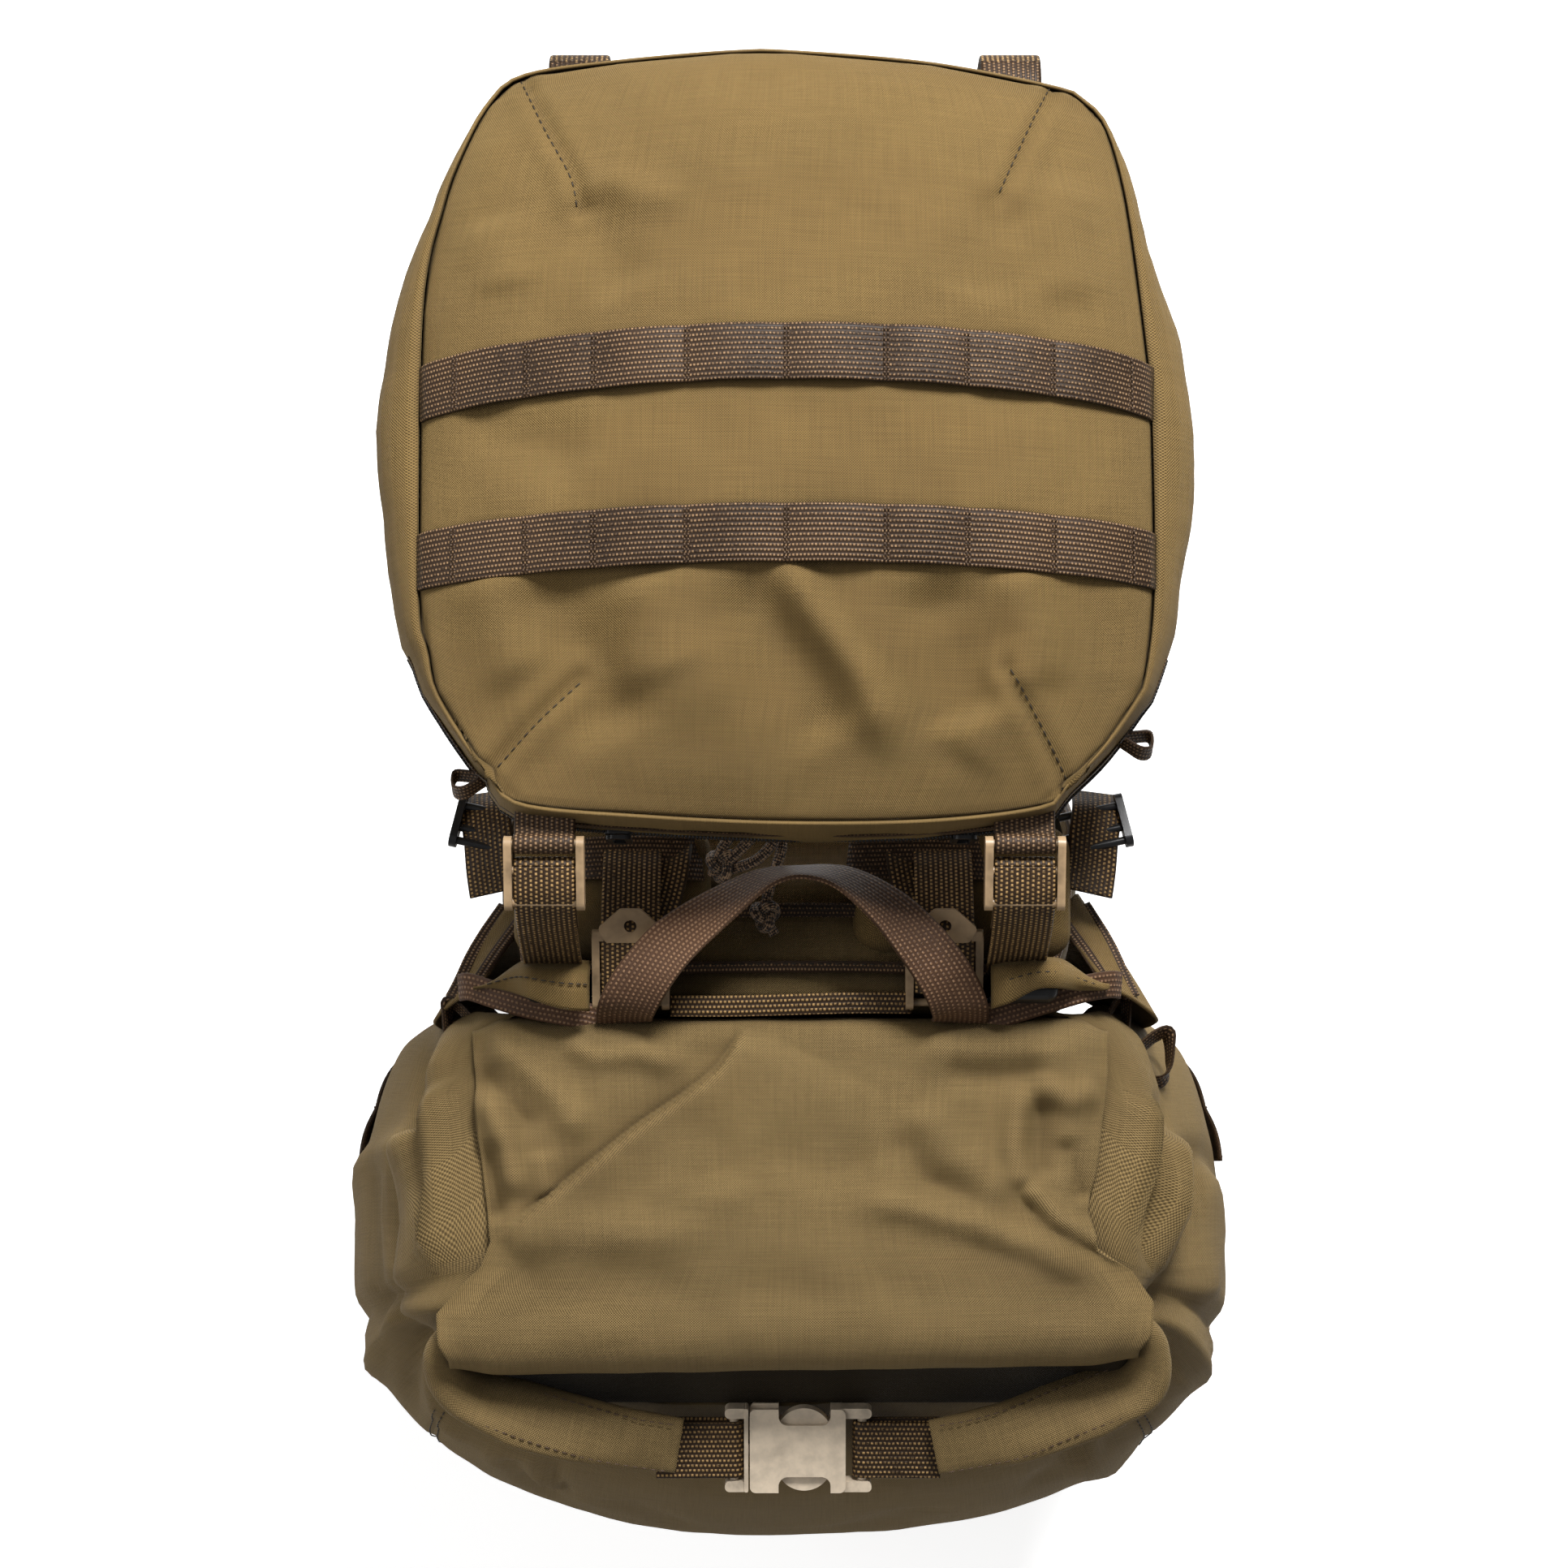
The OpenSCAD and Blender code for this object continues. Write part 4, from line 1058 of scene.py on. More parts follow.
COLLAR_LAP = spline(pts((-121, 22, 0), (-99, 40, 0), (-81, 54, 0), (-62, 69, 0), (-37, 86, 0),
                        (-26, 97, 0), (-18, 112, 0)), 4)
COLLAR_LAP.reverse()


def roll_curl():
    """The collar's path, in YZ: flat top, then a turn and a half round the roll."""
    top = at_x(0, (113, 633), (112, 641), (108, 646), (96, 648), (62, 648.5), (32, 648.5), (14, 648),
               (2, 646.8))
    centre = pt(0, -6, 629)
    curl = []
    for k in range(1, 15):
        a = math.radians(78 + 34 * k)
        r = (19 - 1.0 * k) * MM
        curl.append(centre + Vector((0, math.cos(a) * r * 1.45, math.sin(a) * r)))
    return resample(spline(top + curl, 8), 170)


COLLAR_PATH = roll_curl()


COLLAR_LEFT = ((-24, 141), (-18, 145), (-6, 146), (4, 137), (12, 128), (22, 124), (60, 129), (115, 133))
COLLAR_RIGHT = ((-24, 143), (-18, 148), (-4, 149), (9, 140), (19, 126), (34, 122), (50, 126), (90, 131),
                (115, 132))


COLLAR_ROLLED = ((0, 160), (0.62, 160), (0.75, 141), (1, 134))


def collar_half_width(v, y, left):
    """The collar is drawn in behind the roll and widens where it is flattened into it; y in mm."""
    seen_from_above = lookup(y, COLLAR_LEFT if left else COLLAR_RIGHT)
    return min(seen_from_above, lookup(v, COLLAR_ROLLED))


def collar():
    """The roll-top collar: flat and folded on top, then rolled up at the front."""
    rows = []
    for i in range(170):
        v = i / 169
        base = COLLAR_PATH[i]
        along = tangent(COLLAR_PATH, i)
        up = Vector((0, along.z, -along.y))
        row = []
        for j in range(191):
            s = -1 + 2 * j / 190
            x = s * collar_half_width(v, base.y / MM, s < 0) * MM
            p = base + Vector((x, 0, 0))
            flat = smooth(v, 0.03, 0.10) * (1 - smooth(v, 0.50, 0.66))
            push = 0.0
            if flat > 0:
                here = Vector((x, base.y, 0))
                for path, width, height in COLLAR_FOLDS:
                    push += fold(here, path, 1.35 * width * MM, 1.25 * height)
                push += lap(here, COLLAR_LAP, 6.5, 0.03)
                push += 2.6 * bumps(here, 0.045, 11.0) + 1.2 * bumps(here, 0.018, 12.0)
                push *= flat
            push += 0.5 * bumps(p, 0.02, 13.0)
            sag = -5.0 * smooth(abs(s), 0.90, 1.0) * (1 - smooth(v, 0.50, 0.60))
            pinch = smooth(abs(s), 0.86, 1.0) * smooth(v, 0.55, 0.7)
            p += up * (push + sag) * MM
            p = p.lerp(pt(p.x / MM, -12, 632), 0.25 * pinch)
            p.y += (0.0022 * s - 0.0005) * smooth(v, 0.35, 0.6)
            row.append(p)
        rows.append(row)
    obj = sheet("collar", rows, CLOTH_BAG, "roll_top", 0.0, replaces=("roll_collar", "roll_hem"))
    thicken(obj, 0.0014)
    return rows


def band(name, path, sides, widths, thick, body, **more):
    """A soft flattened tube of doubled cloth that follows a path."""
    rings = []
    for i, p in enumerate(path):
        t = i / (len(path) - 1)
        along = tangent(path, i)
        side = sides[i] - along * sides[i].dot(along)
        side.normalize()
        up = along.cross(side)
        w = lookup(t, widths) * MM / 2
        ring = []
        for k in range(24):
            a = 2 * math.pi * k / 24
            u = power(math.cos(a), 0.75)
            h = power(math.sin(a), 0.9)
            q = p + side * u * w + up * h * lookup(t, thick) * MM / 2
            q += up * (bumps(q, 0.02, 15.0) * 0.0016 + bumps(q, 0.009, 16.0) * 0.0005)
            ring.append(q)
        rings.append(ring)
    return tube(name, rings, CLOTH_BAG, body, **more)


def roll_ends():
    """The roll's ends: they turn forward and come back to the buckle as two flaps."""
    first = None
    paths = {
        -1: pts((-96, -18, 635), (-118, -18, 636), (-134, -17, 634), (-143, -22, 630), (-144.5, -31, 625),
                (-138, -39.5, 621), (-124, -46.5, 617), (-104, -53, 613), (-84, -58, 610),
                (-64, -61.5, 608), (-47, -64, 606.5)),
        1: pts((96, -15, 635), (122, -15, 636), (138, -14, 634), (147, -19, 630), (149, -29, 625),
               (145, -38, 621), (133, -43.5, 617), (114, -50.5, 613), (95, -57.5, 610), (77, -61.5, 608),
               (60, -64.5, 606.5))}
    for side, m in (("left", -1), ("right", 1)):
        path = paths[m]
        across = pts((0, 1000, 100), (0, 1000, 100), (m * 300, 900, 300), (m * 950, 300, 500),
                     (m * 1000, -100, 500),
                     (m * 800, -800, 300), (m * 300, -1000, -250), (m * 150, -1000, -330),
                     (0, -1000, -330),
                     (0, -1000, -330), (-m * 200, -1000, -330))
        dense = resample(spline(path, 8), 110)
        sides = resample(spline(across, 8), 110)
        obj = band("roll_flap_" + side, dense, sides,
                   ((0, 22), (0.16, 22), (0.25, 17), (0.36, 17), (0.45, 23), (0.58, 29), (0.9, 26.5),
                    (1, 25)),
                   ((0, 8), (0.25, 12), (0.42, 12), (0.6, 9), (0.9, 6), (1, 4.6)), "roll_top",
                   replaces=("roll_flaps",) if m < 0 else ())
        first = first or obj
        lines = []
        for edge in (-1, 1):
            line = []
            for i in range(56, 108):
                along = tangent(dense, i)
                s = (sides[i] - along * sides[i].dot(along)).normalized()
                up = along.cross(s)
                up = up if up.z > 0 else -up
                line.append(dense[i] + s * edge * 0.0105 + up * 0.0036)
            lines.append((line, Vector((0, -0.3, 1))))
        stitches("flap_stitches_" + side, lines, THREAD_BROWN, "roll_top", 0.0024, 0.0014, 0.00025)
    return first


def roll_cavity_shade():
    """The cloth inside the roll that shows between its lip and the flaps, painted dark as the shade under
    the lip.
    """
    rows = []
    for i in range(14):
        t = i / 13
        row = []
        for j in range(90):
            x = -136 + 276 * j / 89
            end = smooth(abs(x), 110, 138)
            p = pt(x, -20 - 26 * t + 4 * end * t, 622 - 25 * t + 9 * end)
            p.z -= 0.003 * math.sin(math.pi * t) * (1 - end)
            p.z += 0.0012 * bumps(p, 0.02, 41.0)
            row.append(p)
        rows.append(row)
    sheet("roll_cavity_shade", rows, ROLL_CAVITY_SHADE, "roll_top", 0.0012)


def buckle_frame():
    """Origin and axes of the roll buckle."""
    tilt = math.radians(14)
    across = Vector((0, math.cos(tilt), math.sin(tilt)))
    up = Vector((0, -math.sin(tilt), math.cos(tilt)))
    return pt(3, -65.5, 597), across, up


def roll_webbing():
    """Webbing that runs into both halves of the roll buckle."""
    centre, across, up = buckle_frame()
    for side, m, body in (("right", 1, "roll_top"), ("left", -1, "roll_male")):
        shape = [(60, 3.6), (52, 3.6), (44, 3.4), (36, 3.3), (30, 3.2), (27, 3.2), (24.6, 2.2), (23.8, 0),
                 (24.6, -2.2), (27, -3.2),
                 (34, -3.4), (46, -3.6), (60, -3.6)]
        path = [centre + X_AXIS * m * x * MM + up * h * MM for x, h in shape]
        ribbons("roll_web_visible_" + side, [(spline(path, 4), across)], STRAP_LIT, body,
                width=24.6 * MM,
                replaces=("roll_web_" + side,))


# ---- small parts ----

def dress(names, material, width=0.0005, segments=2):
    """Gives carried-over CAD pieces a finish and softened edges."""
    for name in names:
        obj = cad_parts[name]
        obj.data.materials.clear()
        obj.data.materials.append(material)
        bevel = obj.modifiers.new("soft_edges", "BEVEL")
        bevel.width = width
        bevel.segments = segments
        bevel.limit_method = "ANGLE"
        bevel.angle_limit = math.radians(35)
        bevel.use_clamp_overlap = True
        normals = obj.modifiers.new("normals", "WEIGHTED_NORMAL")
        normals.keep_sharp = True


def handle():
    """The grab handle: a strap that leaves the pack's edge flat and twists up at its apex."""
    path = pts((-69, 112, 640), (-69, 114, 650), (-67, 119, 659), (-60, 130, 666), (-48, 144, 670),
               (-28, 159, 672), (-10, 169.5, 674),
               (6, 172, 674), (22, 169, 674), (40, 157, 672), (54, 142, 670), (64, 128, 666),
               (69, 118, 659), (70, 114, 650), (70, 112, 640))
    sides = pts((1000, 0, 0), (1000, 50, 0), (1000, -250, 150), (850, -500, 250), (700, -640, 400),
                (480, -560, 720),
                (160, -340, 940), (0, -270, 960), (-160, -340, 940), (-480, -560, 720), (-700, -640, 400),
                (-850, -500, 250),
                (-1000, -250, 150), (-1000, 50, 0), (-1000, 0, 0))
    dense = resample(spline(path, 8), 130)
    across = [v.normalized() for v in resample(spline(sides, 8), 130)]
    across = [-v for v in across]
    ribbons("handle_strap", [(dense, across)], HANDLE_WEB, "handle", width=23.5 * MM, thickness=2.0 * MM,
            replaces=("grab_handle",))


def cord_piece():
    """Speckled cord: doubled strands that come out from under the lid, and two knots."""
    strands = (pts((-8, 204, 640), (-12, 194, 648), (-20, 185, 648), (-29, 177, 644)),
               pts((-14, 204, 638), (-22, 194, 646), (-29, 184, 647), (-33, 174, 641)),
               pts((-2, 204, 638), (-6, 190, 646), (-14, 180, 646), (-26, 176, 642)),
               pts((-6, 204, 634), (-4, 186, 642), (-8, 172, 643), (-11, 158, 641), (-7, 149, 639)))
    rings_all = []
    for k, strand in enumerate(strands):
        rings_all.append(("cord_strand_%d" % k, spline(strand, 8), 0.0023))
    for k, (cx, cy, cz, r) in enumerate(((-29, 178, 644, 4.6), (-11, 157, 641, 4.2))):
        knot = []
        for i in range(61):
            t = 2 * math.pi * i / 60
            x = (math.sin(t) + 2 * math.sin(2 * t)) / 3
            y = (math.cos(t) - 2 * math.cos(2 * t)) / 3
            z = -math.sin(3 * t)
            knot.append(pt(cx + r * x * 1.15, cy + r * y * 1.3, cz + r * z * 0.75))
        rings_all.append(("cord_knot_%d" % k, knot, 0.0022))
    for name, path, radius in rings_all:
        stands_for = ("drawcord",) if name == "cord_strand_0" else ()
        tube(name, round_bar(path, radius, 10), CORD, "pack", replaces=stands_for, slot="cord")


# ---- back and harness ----

def pillow(name, outline, normal, profile, material, body, **more):
    """A padded panel: rings inside a flat closed outline, each (share of the way in, height)."""
    centre = sum(outline, Vector()) / len(outline)
    rings = []
    for inward, height in profile:
        ring = []
        for p in outline:
            q = p.lerp(centre, inward) + normal * height * MM
            ring.append(q + normal * 0.0012 * bumps(q, 0.03, 21.0) * min(1.0, abs(height) / 6))
        rings.append(ring)
    rows = [ring + [ring[0].copy()] for ring in rings]
    obj = sheet(name, rows, material, body, 0.0, **more)
    weld(obj)
    return obj


def rounded_outline(centre, width, height, radius, right, up, per=8):
    """A closed rounded rectangle in the plane of right and up; sizes in millimetres."""
    out = []
    for k, (sx, sy) in enumerate(((1, 1), (-1, 1), (-1, -1), (1, -1))):
        for i in range(per + 1):
            a = math.radians(90 * k + 90 * i / per)
            x = sx * (width / 2 - radius) + radius * math.cos(a)
            y = sy * (height / 2 - radius) + radius * math.sin(a)
            out.append(centre + right * x * MM + up * y * MM)
    closed = out + [out[0]]
    return resample(closed, 121)[:-1]


def piping(name, outline, shift, radius, material, body):
    """A thin round edge along a closed outline."""
    path = [p + shift for p in outline + [outline[0]]]
    tube(name, round_bar(path, radius, 8), material, body, slot="webbing")


BACK_PADS = (  # name, middle across and up, width, height and corner radius in mm
    ("left", -68, 425, 92, 330, 22),
    ("right", 68, 425, 92, 330, 22),
    ("lumbar", 0, 138, 190, 160, 30))


def back_panel_pads():
    """The two back pads and the lumbar pad, each with piping."""
    profile = ((0.0, 0.5), (0.0, 7), (0.02, 11.5), (0.07, 14.5), (0.16, 16), (0.4, 16.6), (0.7, 16.8),
               (0.98, 16.8))
    for name, x, z, w, h, r in BACK_PADS:
        outline = rounded_outline(pt(x, 130.6, z), w, h, r, X_AXIS, UP)
        pillow("back_pad_" + name, outline, Y_AXIS, profile, LINING, "pack",
               replaces=("back_pads",) if x < 0 else (), slot="fabric_inner")
        piping("back_pad_piping_" + name, outline, Y_AXIS * 0.0075, 0.0019, STRAP_SHADED, "pack")


def yoke():
    """Padding over the shoulders, with sewn webbing keepers across it."""
    profile = ((0.0, -4), (0.0, 4), (0.03, 8), (0.10, 11), (0.25, 13), (0.6, 14), (0.98, 14.3))
    strips = []
    for name, x0, x1, keep in (("left", -117, -34, (-90, -38)), ("right", 26, 118, (24, 84))):
        outline = rounded_outline(pt((x0 + x1) / 2, 168, 624), x1 - x0, 56, 11, X_AXIS, Y_AXIS)
        pillow("yoke_pad_" + name, outline, UP, profile, CLOTH, "pack",
               replaces=("yoke_pads",) if x0 < 0 else ())
        a, b = keep
        path = pts((a, 181, 635), (a + 6, 181, 639), (a * 0.5 + b * 0.5, 181.5, 640), (b - 8, 181, 639),
                   (b, 181, 634))
        strips.append((spline(path, 8), Vector((0, 1, -0.25)), 0.019))
    ribbons("yoke_keepers", strips, STRAP_SHADED, "pack", thickness=0.0016)


def frame_envelope():
    """The sewn pocket that holds the frame sheet, open along its top edge."""
    rings = []
    heights = [24, 26, 30, 40] + list(range(60, 620, 20)) + [622, 630, 636, 639]
    for z in heights:
        squeeze = 1 - 0.6 * smooth(30 - z, 0, 6)
        back = 130.2 + 3.5 * smooth(z, 600, 639)
        ring = []
        for k in range(160):
            a = 2 * math.pi * k / 160
            x = 122 * power(math.cos(a), 0.22)
            t = power(math.sin(a), 0.35)
            y = (120.6 + back) / 2 + (back - 120.6) / 2 * t * squeeze
            p = pt(x, y, z)
            p.y += 0.0008 * bumps(p, 0.05, 23.0) * smooth(t, -0.5, 1)
            ring.append(p)
        rings.append(ring)
    tube("frame_pocket_cloth", rings, CLOTH, "pack", caps=False, replaces=("frame_pocket",))
    edges = []
    for y, z, wide in ((135.5, 640.5, 5), (160, 630, 6)):
        path = [pt(x, y - 3.5 * (x / 120) ** 2, z + 0.6 * math.sin(x / 17)) for x in range(-84, 85, 4)]
        edges.append((path, Vector((0, 1, 0.3)), wide * MM))
    ribbons("pocket_bindings", edges, STRAP_SHADED, "pack", thickness=0.0012)
    lines = [([p + Vector((0, 0.001, 0.0012)) for p in path], UP) for path, _, _ in edges]
    stitches("pocket_binding_stitches", lines, THREAD_DARK, "pack", 0.0022, 0.0014, 0.0003)


def spine_panel():
    """The cloth between the yoke pads, sunk below them."""
    rows = []
    for i in range(24):
        t = i / 23
        y = 122 + 76 * t
        z = 639 - 3 * smooth(t, 0, 0.15) - 14 * smooth(t, 0.15, 0.6) - 20 * smooth(t, 0.6, 1)
        rows.append([pt(x, y, z + 1.2 * bumps(pt(x, y, 0), 0.02, 31.0)) for x in range(-60, 57, 4)])
    sheet("spine_panel", rows, CLOTH_BAG, "pack", 0.0014)


def rear_edge():
    """Binding along the collar's rear edge, the flaps over the stays and the hook-and-loop strip."""
    tapes = []
    for path in (pts((-139, 127, 634), (-134, 127, 640), (-122, 123, 645), (-108, 119, 647),
                     (-92, 116, 646.5), (-78, 113, 644)),
                 pts((78, 113, 644), (92, 117, 646.5), (108, 122, 647), (122, 126, 646), (133, 128, 640),
                     (138, 128, 634))):
        tapes.append((spline(path, 8), Vector((0, 1, 0.15)), 0.0115))
    ribbons("mouth_binding_tape", tapes, HANDLE_WEB, "pack", thickness=0.0016,
            replaces=("mouth_binding",))
    strip = [pt(x, 119.5 + 0.7 * math.sin(x / 23), 645 + 0.5 * math.sin(x / 11))
             for x in range(-50, 51, 4)]
    ribbons("hook_tape", [(strip, Vector((0, 1, 0.2)), 0.009)], STRAP_LIT, "pack", thickness=0.0022,
            replaces=("hook_strip",))
    lines = []
    for side, m in (("left", -1), ("right", 1)):
        rows = []
        for i in range(15):
            t = i / 14
            row = []
            for j in range(34):
                u = j / 33
                x = m * (132 - 49 * u)
                low = 126 - 10 * smooth(u, 0.1, 0.9)
                if m > 0:
                    low += 7 * math.exp(-((x - 100) / 13) ** 2)
                high = 127 + 10.5 * smooth(u, 0, 0.45)
                y = low + (high - low) * t
                z = 648 + 3.0 * math.sin(math.pi * min(1, t * 1.2)) * smooth(u, 0, 0.2)
                z -= 9 * smooth(t, 0.75, 1.0)
                z += 14.5 * math.exp(-(max(abs(abs(x) - 98) - 8, 0) / 9) ** 2)
                p = pt(x, y, z)
                p.z += 0.0010 * bumps(p, 0.014, 27.0)
                row.append(p)
            rows.append(row)
        sheet("stay_flap_" + side, rows, CLOTH, "pack", 0.0012)
        lines.append(([p + Vector((0, 0, 0.001)) for p in rows[7][4:]], UP))
    stitches("stay_flap_stitches", lines, THREAD_DARK, "pack", 0.0022, 0.0014, 0.0003)


def rear_wings():
    """Cloth from the harness down to the bag's rear corners, and its binding."""
    tapes = []
    for side, m, reach in (("left", -1, 0), ("right", 1, 3)):
        inner = spline(mirrored(m, (111, 160, 603), (123, 142, 620), (132, 127, 634)), 8)
        outer = spline(mirrored(m, (121 + reach, 167, 590), (138 + reach, 140, 599),
                                (154 + reach, 114, 598)), 8)
        low = spline(mirrored(m, (121, 130, 535), (135, 124, 545), (150, 112, 552)), 8)
        rows = []
        for a, b, c in zip(resample(inner, 36), resample(outer, 36), resample(low, 36)):
            ridge = a.lerp(b, 0.5) + pt(m * 1, 1, 5)
            section = resample(spline([a, ridge, b, c], 8), 30)
            rows.append([p + pt(0, 0, 1.3 * bumps(p, 0.018, 51.0)) for p in section])
        sheet("rear_wing_" + side, rows, CLOTH, "pack", 0.0014)
        across = Vector((m * 0.85, 0.5, -0.35))
        tapes.append(([row[6] + pt(0, 0, 1.6) for row in rows[3:-2]], across, 0.007))
        tapes.append(([row[1] + pt(0, 0, 1.6) for row in rows[2:]], across, 0.005))
    ribbons("rear_wing_bindings", tapes, STRAP_SHADED, "pack", thickness=0.0012)


STRAP_INNER = ((312, 88), (350, 82), (430, 68), (500, 48), (560, 34), (620, 34))
STRAP_OUTER = ((312, 136), (380, 138), (450, 134), (520, 122), (575, 108), (620, 106))
STRAP_PATH = ((155, 566), (157, 580), (170, 598), (192, 600), (212, 582), (222, 545), (221, 480),
              (211, 420), (197, 360), (184, 318))


def shoulder_straps():
    """The padded shoulder straps, their edges and the webbing on and below them."""
    for side, m in (("left", -1), ("right", 1)):
        spine = resample(spline([pt(0, y, z) for y, z in STRAP_PATH], 8), 90)
        rings, middle, edges = [], [], ([], [])
        for i, p in enumerate(spine):
            inner, outer = lookup(p.z / MM, STRAP_INNER), lookup(p.z / MM, STRAP_OUTER)
            end = smooth(min(i, 89 - i), 0, 4)
            w = (outer - inner) / 2 * (0.86 + 0.14 * end)
            along = tangent(spine, i)
            out = Vector((0, -along.z, along.y))
            centre = p + Vector((m * (inner + outer) / 2 * MM, 0, 0))
            ring = []
            for k in range(36):
                a = 2 * math.pi * k / 36
                q = centre + X_AXIS * (w * power(math.cos(a), 0.6)) * MM
                q += out * (6.2 * (0.55 + 0.45 * end) * power(math.sin(a), 0.8)) * MM
                q += out * 0.0008 * bumps(q, 0.02, 33.0)
                ring.append(q)
            rings.append(ring)
            middle.append(centre - out * 7.0 * MM)
            edges[0].append(centre + X_AXIS * (w + 0.4) * MM)
            edges[1].append(centre - X_AXIS * (w + 0.4) * MM)
        body = "strap_" + side
        tube("shoulder_pad_" + side, rings, CLOTH, body, replaces=("shoulder_strap_" + side,))
        for k, edge in enumerate(edges):
            name = "shoulder_edge_%s_%d" % (side, k)
            tube(name, round_bar(edge, 0.0028, 8), STRAP_SHADED, body, slot="webbing")
        ribbons("shoulder_strap_web_" + side, [(middle[22:], X_AXIS)], STRAP_LIT, body)
        lower = spline(mirrored(m, (112, 171, 282), (112, 159, 240), (112, 147, 190), (112, 137, 146),
                                (112, 133, 118)), 8)
        obj = ribbons("shoulder_web_" + side, [(lower, X_AXIS)], STRAP_SHADED, None,
                      replaces=("shoulder_webs",) if m < 0 else ())
        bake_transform(obj)
        ribbons("sternum_web_" + side, [(mirrored(m, (76, 232, 470), (54, 232.4, 470), (34, 232, 470)),
                                         UP, 0.020)],
                STRAP_SHADED, "sternum_half_" + side, thickness=0.0024)


def lifter_straps():
    """Webbing of the load lifters and of the stabilisers beside them."""
    strips = []
    for x in (-66.5, 63.5):
        path = at_x(x, (124, 649), (132, 651.5), (142, 654.5), (152, 655.5), (161, 653), (170, 649),
                    (181, 642), (192, 629), (203, 611))
        strips.append((spline(path, 8), X_AXIS, 0.0244))
        lean = pts((x * 0.93, 150, 648), (x * 0.85, 164, 646), (x * 0.80, 178, 641), (x * 0.78, 190, 630))
        strips.append((spline(lean, 8), Vector((1, 0.3 if x < 0 else -0.3, 0)), 0.022))
    ribbons("lifter_webbing", strips, STRAP_LIT, "pack", replaces=("load_lifter_webs",))
    sides = []
    for m in (-1, 1):
        path = mirrored(m, (126, 168, 622), (128, 180, 620), (129, 192, 621), (131, 204, 617),
                        (132, 212, 606))
        sides.append((spline(path, 8), Vector((1, 0, 0.2 * -m)), 0.022))
    ribbons("stabiliser_webbing", sides, STRAP_LIT, "pack")


HIP_PATH = ((118, 141), (146, 156), (162, 190), (163, 238), (146, 282), (120, 306))


def hip_belt():
    """The two padded wings of the hip belt and their webbing."""
    for side, m in (("left", -1), ("right", 1)):
        spine = resample(spline([pt(m * x, y, 52) for x, y in HIP_PATH], 8), 80)
        rings, outer = [], []
        edges = ([], [])
        for i, p in enumerate(spine):
            t = i / 79
            along = tangent(spine, i)
            out = Vector((along.y, -along.x, 0)) * m
            half = 51 * (1 - 0.22 * smooth(t, 0.55, 1.0)) * (0.9 + 0.1 * smooth(min(t, 1 - t), 0, 0.04))
            ring = []
            for k in range(44):
                a = 2 * math.pi * k / 44
                q = p + Vector((0, 0, half * power(math.sin(a), 0.5) * MM))
                thick = 6.4 * (0.6 + 0.4 * smooth(min(t, 1 - t), 0, 0.05))
                q += out * thick * power(math.cos(a), 0.7) * MM
                q += out * 0.0010 * bumps(q, 0.025, 35.0)
                ring.append(q)
            rings.append(ring)
            outer.append(p + out * 7.2 * MM)
            for e, s in zip(edges, (-1, 1)):
                e.append(p + Vector((0, 0, s * (half + 0.4) * MM)))
        body = "hip_" + side
        tube("hip_pad_" + side, rings, LINING, body, replaces=("hip_wing_" + side,), slot="fabric_inner")
        for k, edge in enumerate(edges):
            tube("hip_edge_%s_%d" % (side, k), round_bar(edge, 0.0028, 8), STRAP_SHADED, body,
                 slot="webbing")
            far = mirrored(m, (113, 315, 52), (100, 322, 52), (90, 326, 52), (83, 326.5, 52))
        ribbons("hip_webbing_" + side, [(spline(outer[12:76:6] + far, 5), UP, 0.038)], STRAP_LIT, body,
                replaces=("hip_web_" + side,))


# ---- webbing on the bag's sides ----

SIDE_ROWS = (128, 328)
LADDER_ROWS = (195, 262, 395, 445, 495)


def side_x(z):
    """Distance of the side webbing's buckles from the middle, in millimetres."""
    return HALF_W * lookup((z + 12.5) / BAG_H, BAG_WIDTH) + 8


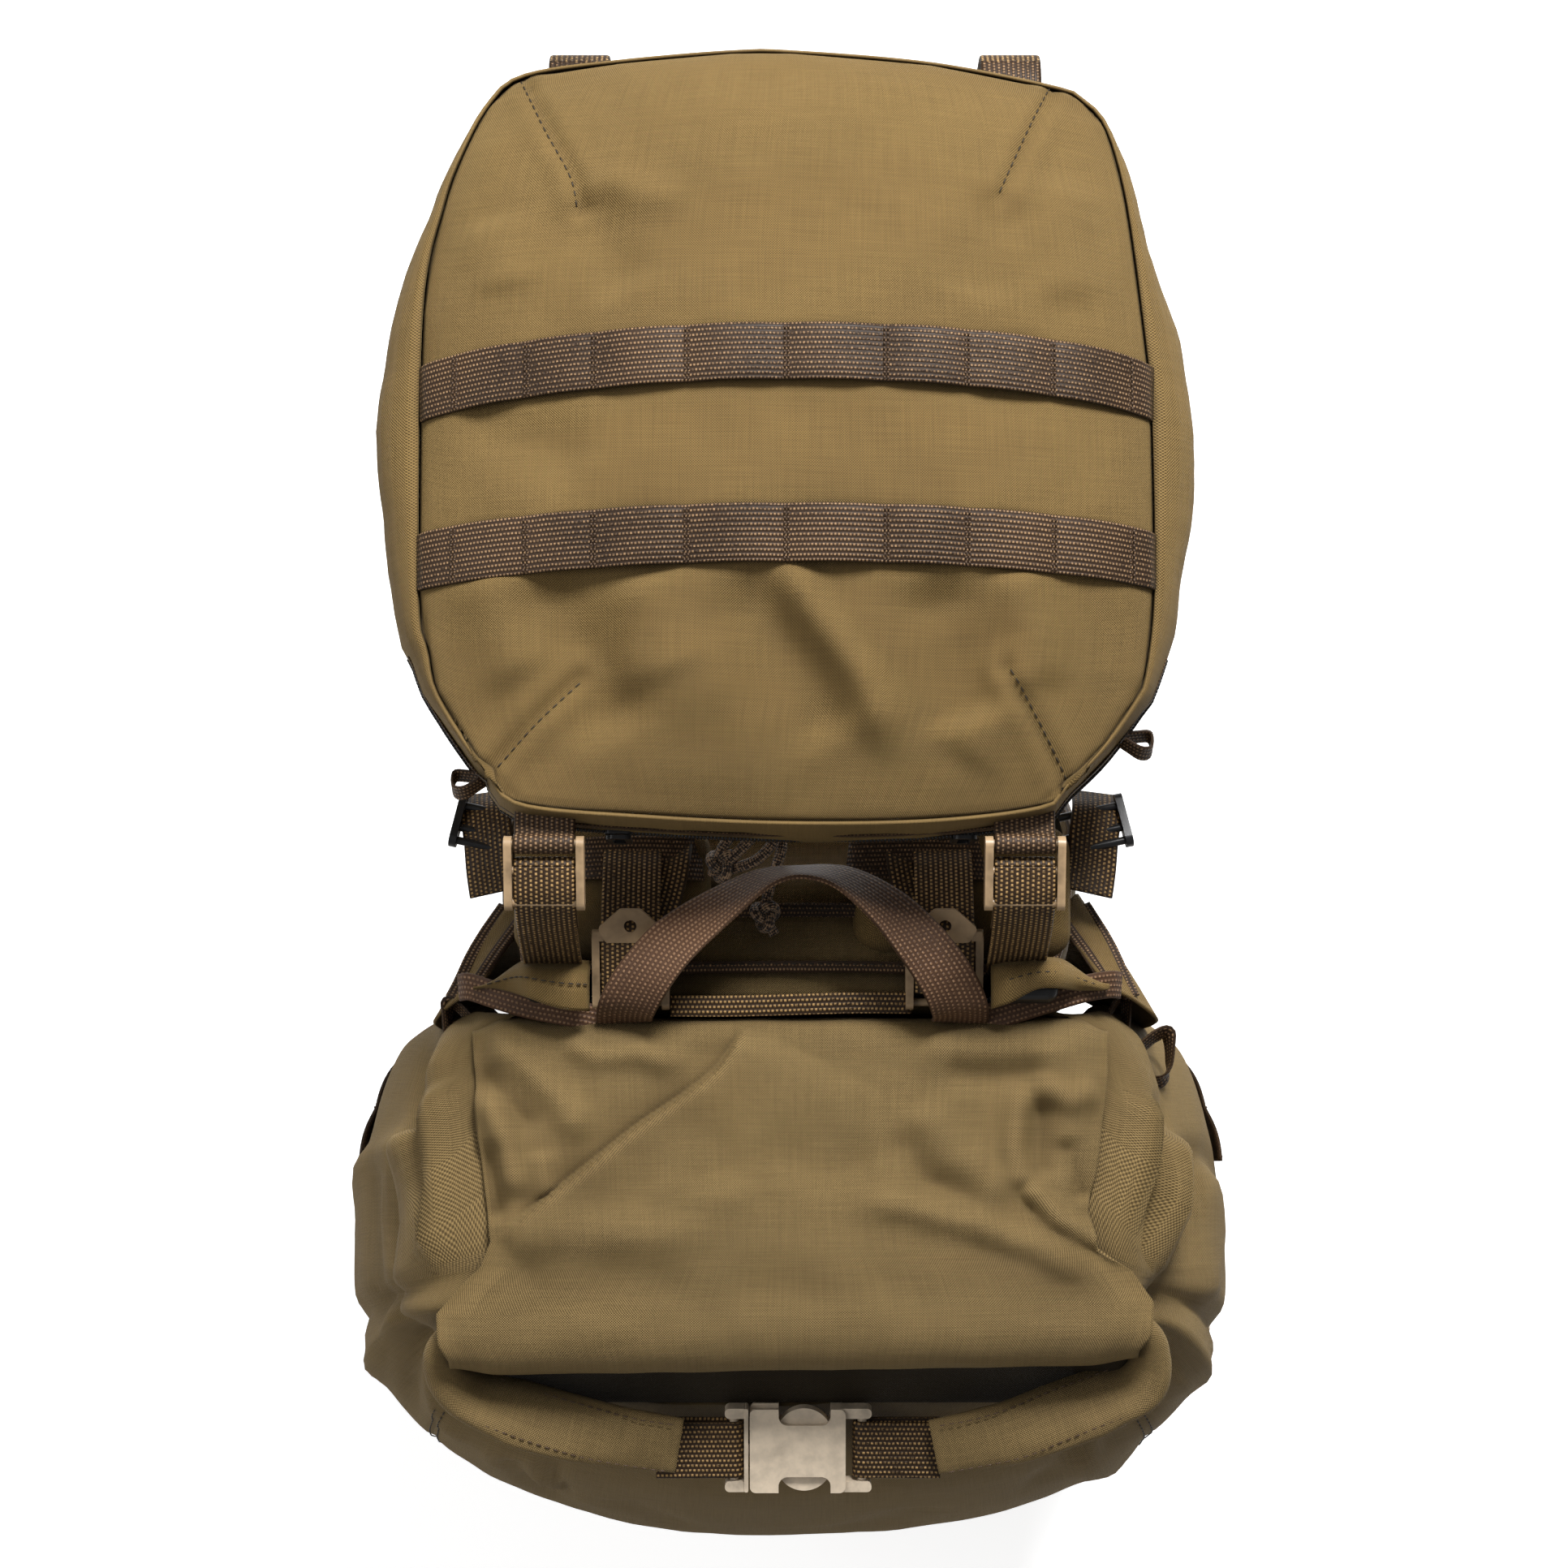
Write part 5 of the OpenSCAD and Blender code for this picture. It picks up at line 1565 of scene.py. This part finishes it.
def side_webs():
    """Webbing rows on the bag's sides, with their tacks, buckle ends and hanging loops."""
    strips, tacks = [], []
    for m in (1, -1):
        def on_side(a, z, lift):
            p = bag_surface(a, z, lift)
            return Vector((p.x * m, p.y, p.z))
        for z in LADDER_ROWS:
            path = []
            for k in range(40):
                a = 14 + 40 * k / 39
                path.append(on_side(a, z + 12.5, 1.6 + 1.3 * abs(math.sin(math.pi * (a - 14) / 10))))
            strips.append((path, UP))
            for a in (14.8, 24, 34, 44, 53.2):
                foot = on_side(a, z + 12.5, 2.6)
                face = Vector((foot.x, foot.y, 0)).normalized()
                tacks.append(([foot - UP * 0.011, foot, foot + UP * 0.011], face))
        for z in SIDE_ROWS:
            mid = z + 12.5
            x = side_x(z)
            front = [on_side(a, mid, 2.0) for a in range(-62, -25, 3)]
            front += mirrored(m, (x - 2, -38, mid), (x, -28, mid))
            strips.append((spline(front, 3), UP))
            rear = [on_side(a, mid, 2.0) for a in range(56, 20, -3)]
            rear += mirrored(m, (x - 4.5, 46, mid), (x - 4.5, 36, mid))
            strips.append((spline(rear, 3), UP))
            part = ("l" if z < 200 else "u") + ("r" if m > 0 else "l")
            loop = mirrored(m, (x + 2.8, 48, mid), (x + 2.9, 32, mid), (x + 2.1, 27, mid), (x, 25.8, mid))
            ribbons("side_loop_" + part, [(spline(loop, 6), UP)], STRAP_LIT, "side_male_" + part)
    ribbons("side_webbing_rows", strips, STRAP_SHADED, "pack", replaces=("side_webbing",))
    stitches("side_row_tacks", tacks, THREAD_BROWN, "pack", 0.0016, 0.0003, 0.00045)
    loops = []
    for m, x, y, z, reach in ((-1, 131, 108, 612, 15), (1, 133, 112, 608, 10), (1, 142, 96, 600, 20)):
        most = x + reach * 0.7
        far = x + reach
        path = mirrored(m, (x, y, z), (most, y + 12, z + 2), (far, y + 12, z), (far, y - 2, z - 3),
                        (most, y - 8, z - 6), (x, y - 8, z - 8))
        loops.append((spline(path, 6), Vector((0.2 * m, 0.7, 0.8)), 0.009))
    ribbons("side_loops", loops, STRAP_SHADED, "pack", thickness=0.0012)


# ---- stage ----

LAMPS = (  # name, place, size and strength
    ("key", (0.35, 1.40, 2.00), 0.55, 54),
    ("fill", (-1.3, 0.2, 1.9), 1.0, 8),
    ("front", (0.0, -2.2, 1.4), 1.4, 1))


def stage():
    """A pale floor that glows a little to the camera only, a white sky and soft lamps."""
    bpy.ops.mesh.primitive_plane_add(size=60)
    floor = bpy.context.object
    floor.name = "floor"
    n = Nodes("pale_floor")
    seen = n.add("ShaderNodeLightPath").outputs["Is Camera Ray"]
    n.finish(Base_Color=(0.93, 0.93, 0.93, 1.0), Roughness=0.9, Emission_Color=(1.0, 1.0, 1.0, 1.0),
             Emission_Strength=n.times(seen, 0.70))
    floor.data.materials.append(n.material)
    floor.location.z = -0.0006
    world = bpy.data.worlds.new("studio")
    bpy.context.scene.world = world
    world.use_nodes = True
    world.node_tree.nodes["Background"].inputs[0].default_value = (1, 1, 1, 1)
    world.node_tree.nodes["Background"].inputs[1].default_value = 0.22
    for name, where, size, energy in LAMPS:
        data = bpy.data.lights.new(name, "AREA")
        data.size = size
        data.energy = energy
        lamp = bpy.data.objects.new(name, data)
        bpy.context.scene.collection.objects.link(lamp)
        lamp.location = where
        aim = Vector((0, 0.15, 0.6)) - lamp.location
        lamp.rotation_euler = aim.to_track_quat("-Z", "Y").to_euler()


def screen_look():
    """Plain screen colours, so that the pale floor stays pale and the cloth keeps its contrast."""
    view = bpy.context.scene.view_settings
    view.view_transform = "Standard"
    view.look = "None"


def camera():
    """Looks almost straight down from in front of the standing pack."""
    data = bpy.data.cameras.new("camera")
    data.sensor_width = 36
    data.lens = 71.5
    cam = bpy.data.objects.new("camera", data)
    bpy.context.scene.collection.objects.link(cam)
    elevation = math.radians(83)
    away = 1.25
    aim = Vector((-0.003, 0.205, 0.700))
    cam.location = aim + Vector((0, -math.cos(elevation), math.sin(elevation))) * away
    cam.rotation_euler = (math.pi / 2 - elevation, 0, 0)
    bpy.context.scene.camera = cam


lid_panel()
ring, outs = lid_gusset()
lid_webbing()
lid_straps()
lid_front_straps()
pull_loops()
lid_zip(ring, outs)
bag_shell()
collar()
roll_ends()
roll_cavity_shade()
roll_webbing()
handle()
cord_piece()
back_panel_pads()
yoke()
frame_envelope()
spine_panel()
rear_edge()
rear_wings()
shoulder_straps()
lifter_straps()
hip_belt()
side_webs()
dress(("roll_buckle_female", "roll_buckle_male", "roll_buckle_arm_front", "roll_buckle_arm_rear",
       "side_buckles",
       "side_male_upper_left", "side_male_upper_right", "side_male_lower_left", "side_male_lower_right",
       "lid_front_buckle_left", "lid_front_buckle_right"), TAN)
dress(("lid_rear_buckles", "lifter_ladderlock_left", "lifter_ladderlock_right"), TAN_DARK)
dress(("stay_caps", "frame_sheet", "strap_ladderlock_left", "strap_ladderlock_right", "sternum_left",
       "sternum_right",
       "stabiliser_ladderlocks", "hip_buckle_female", "hip_buckle_male", "lid_zip_slider_left",
       "lid_zip_slider_right"), BLACK)
dress(("frame_stays",), METAL)
stage()
screen_look()
camera()
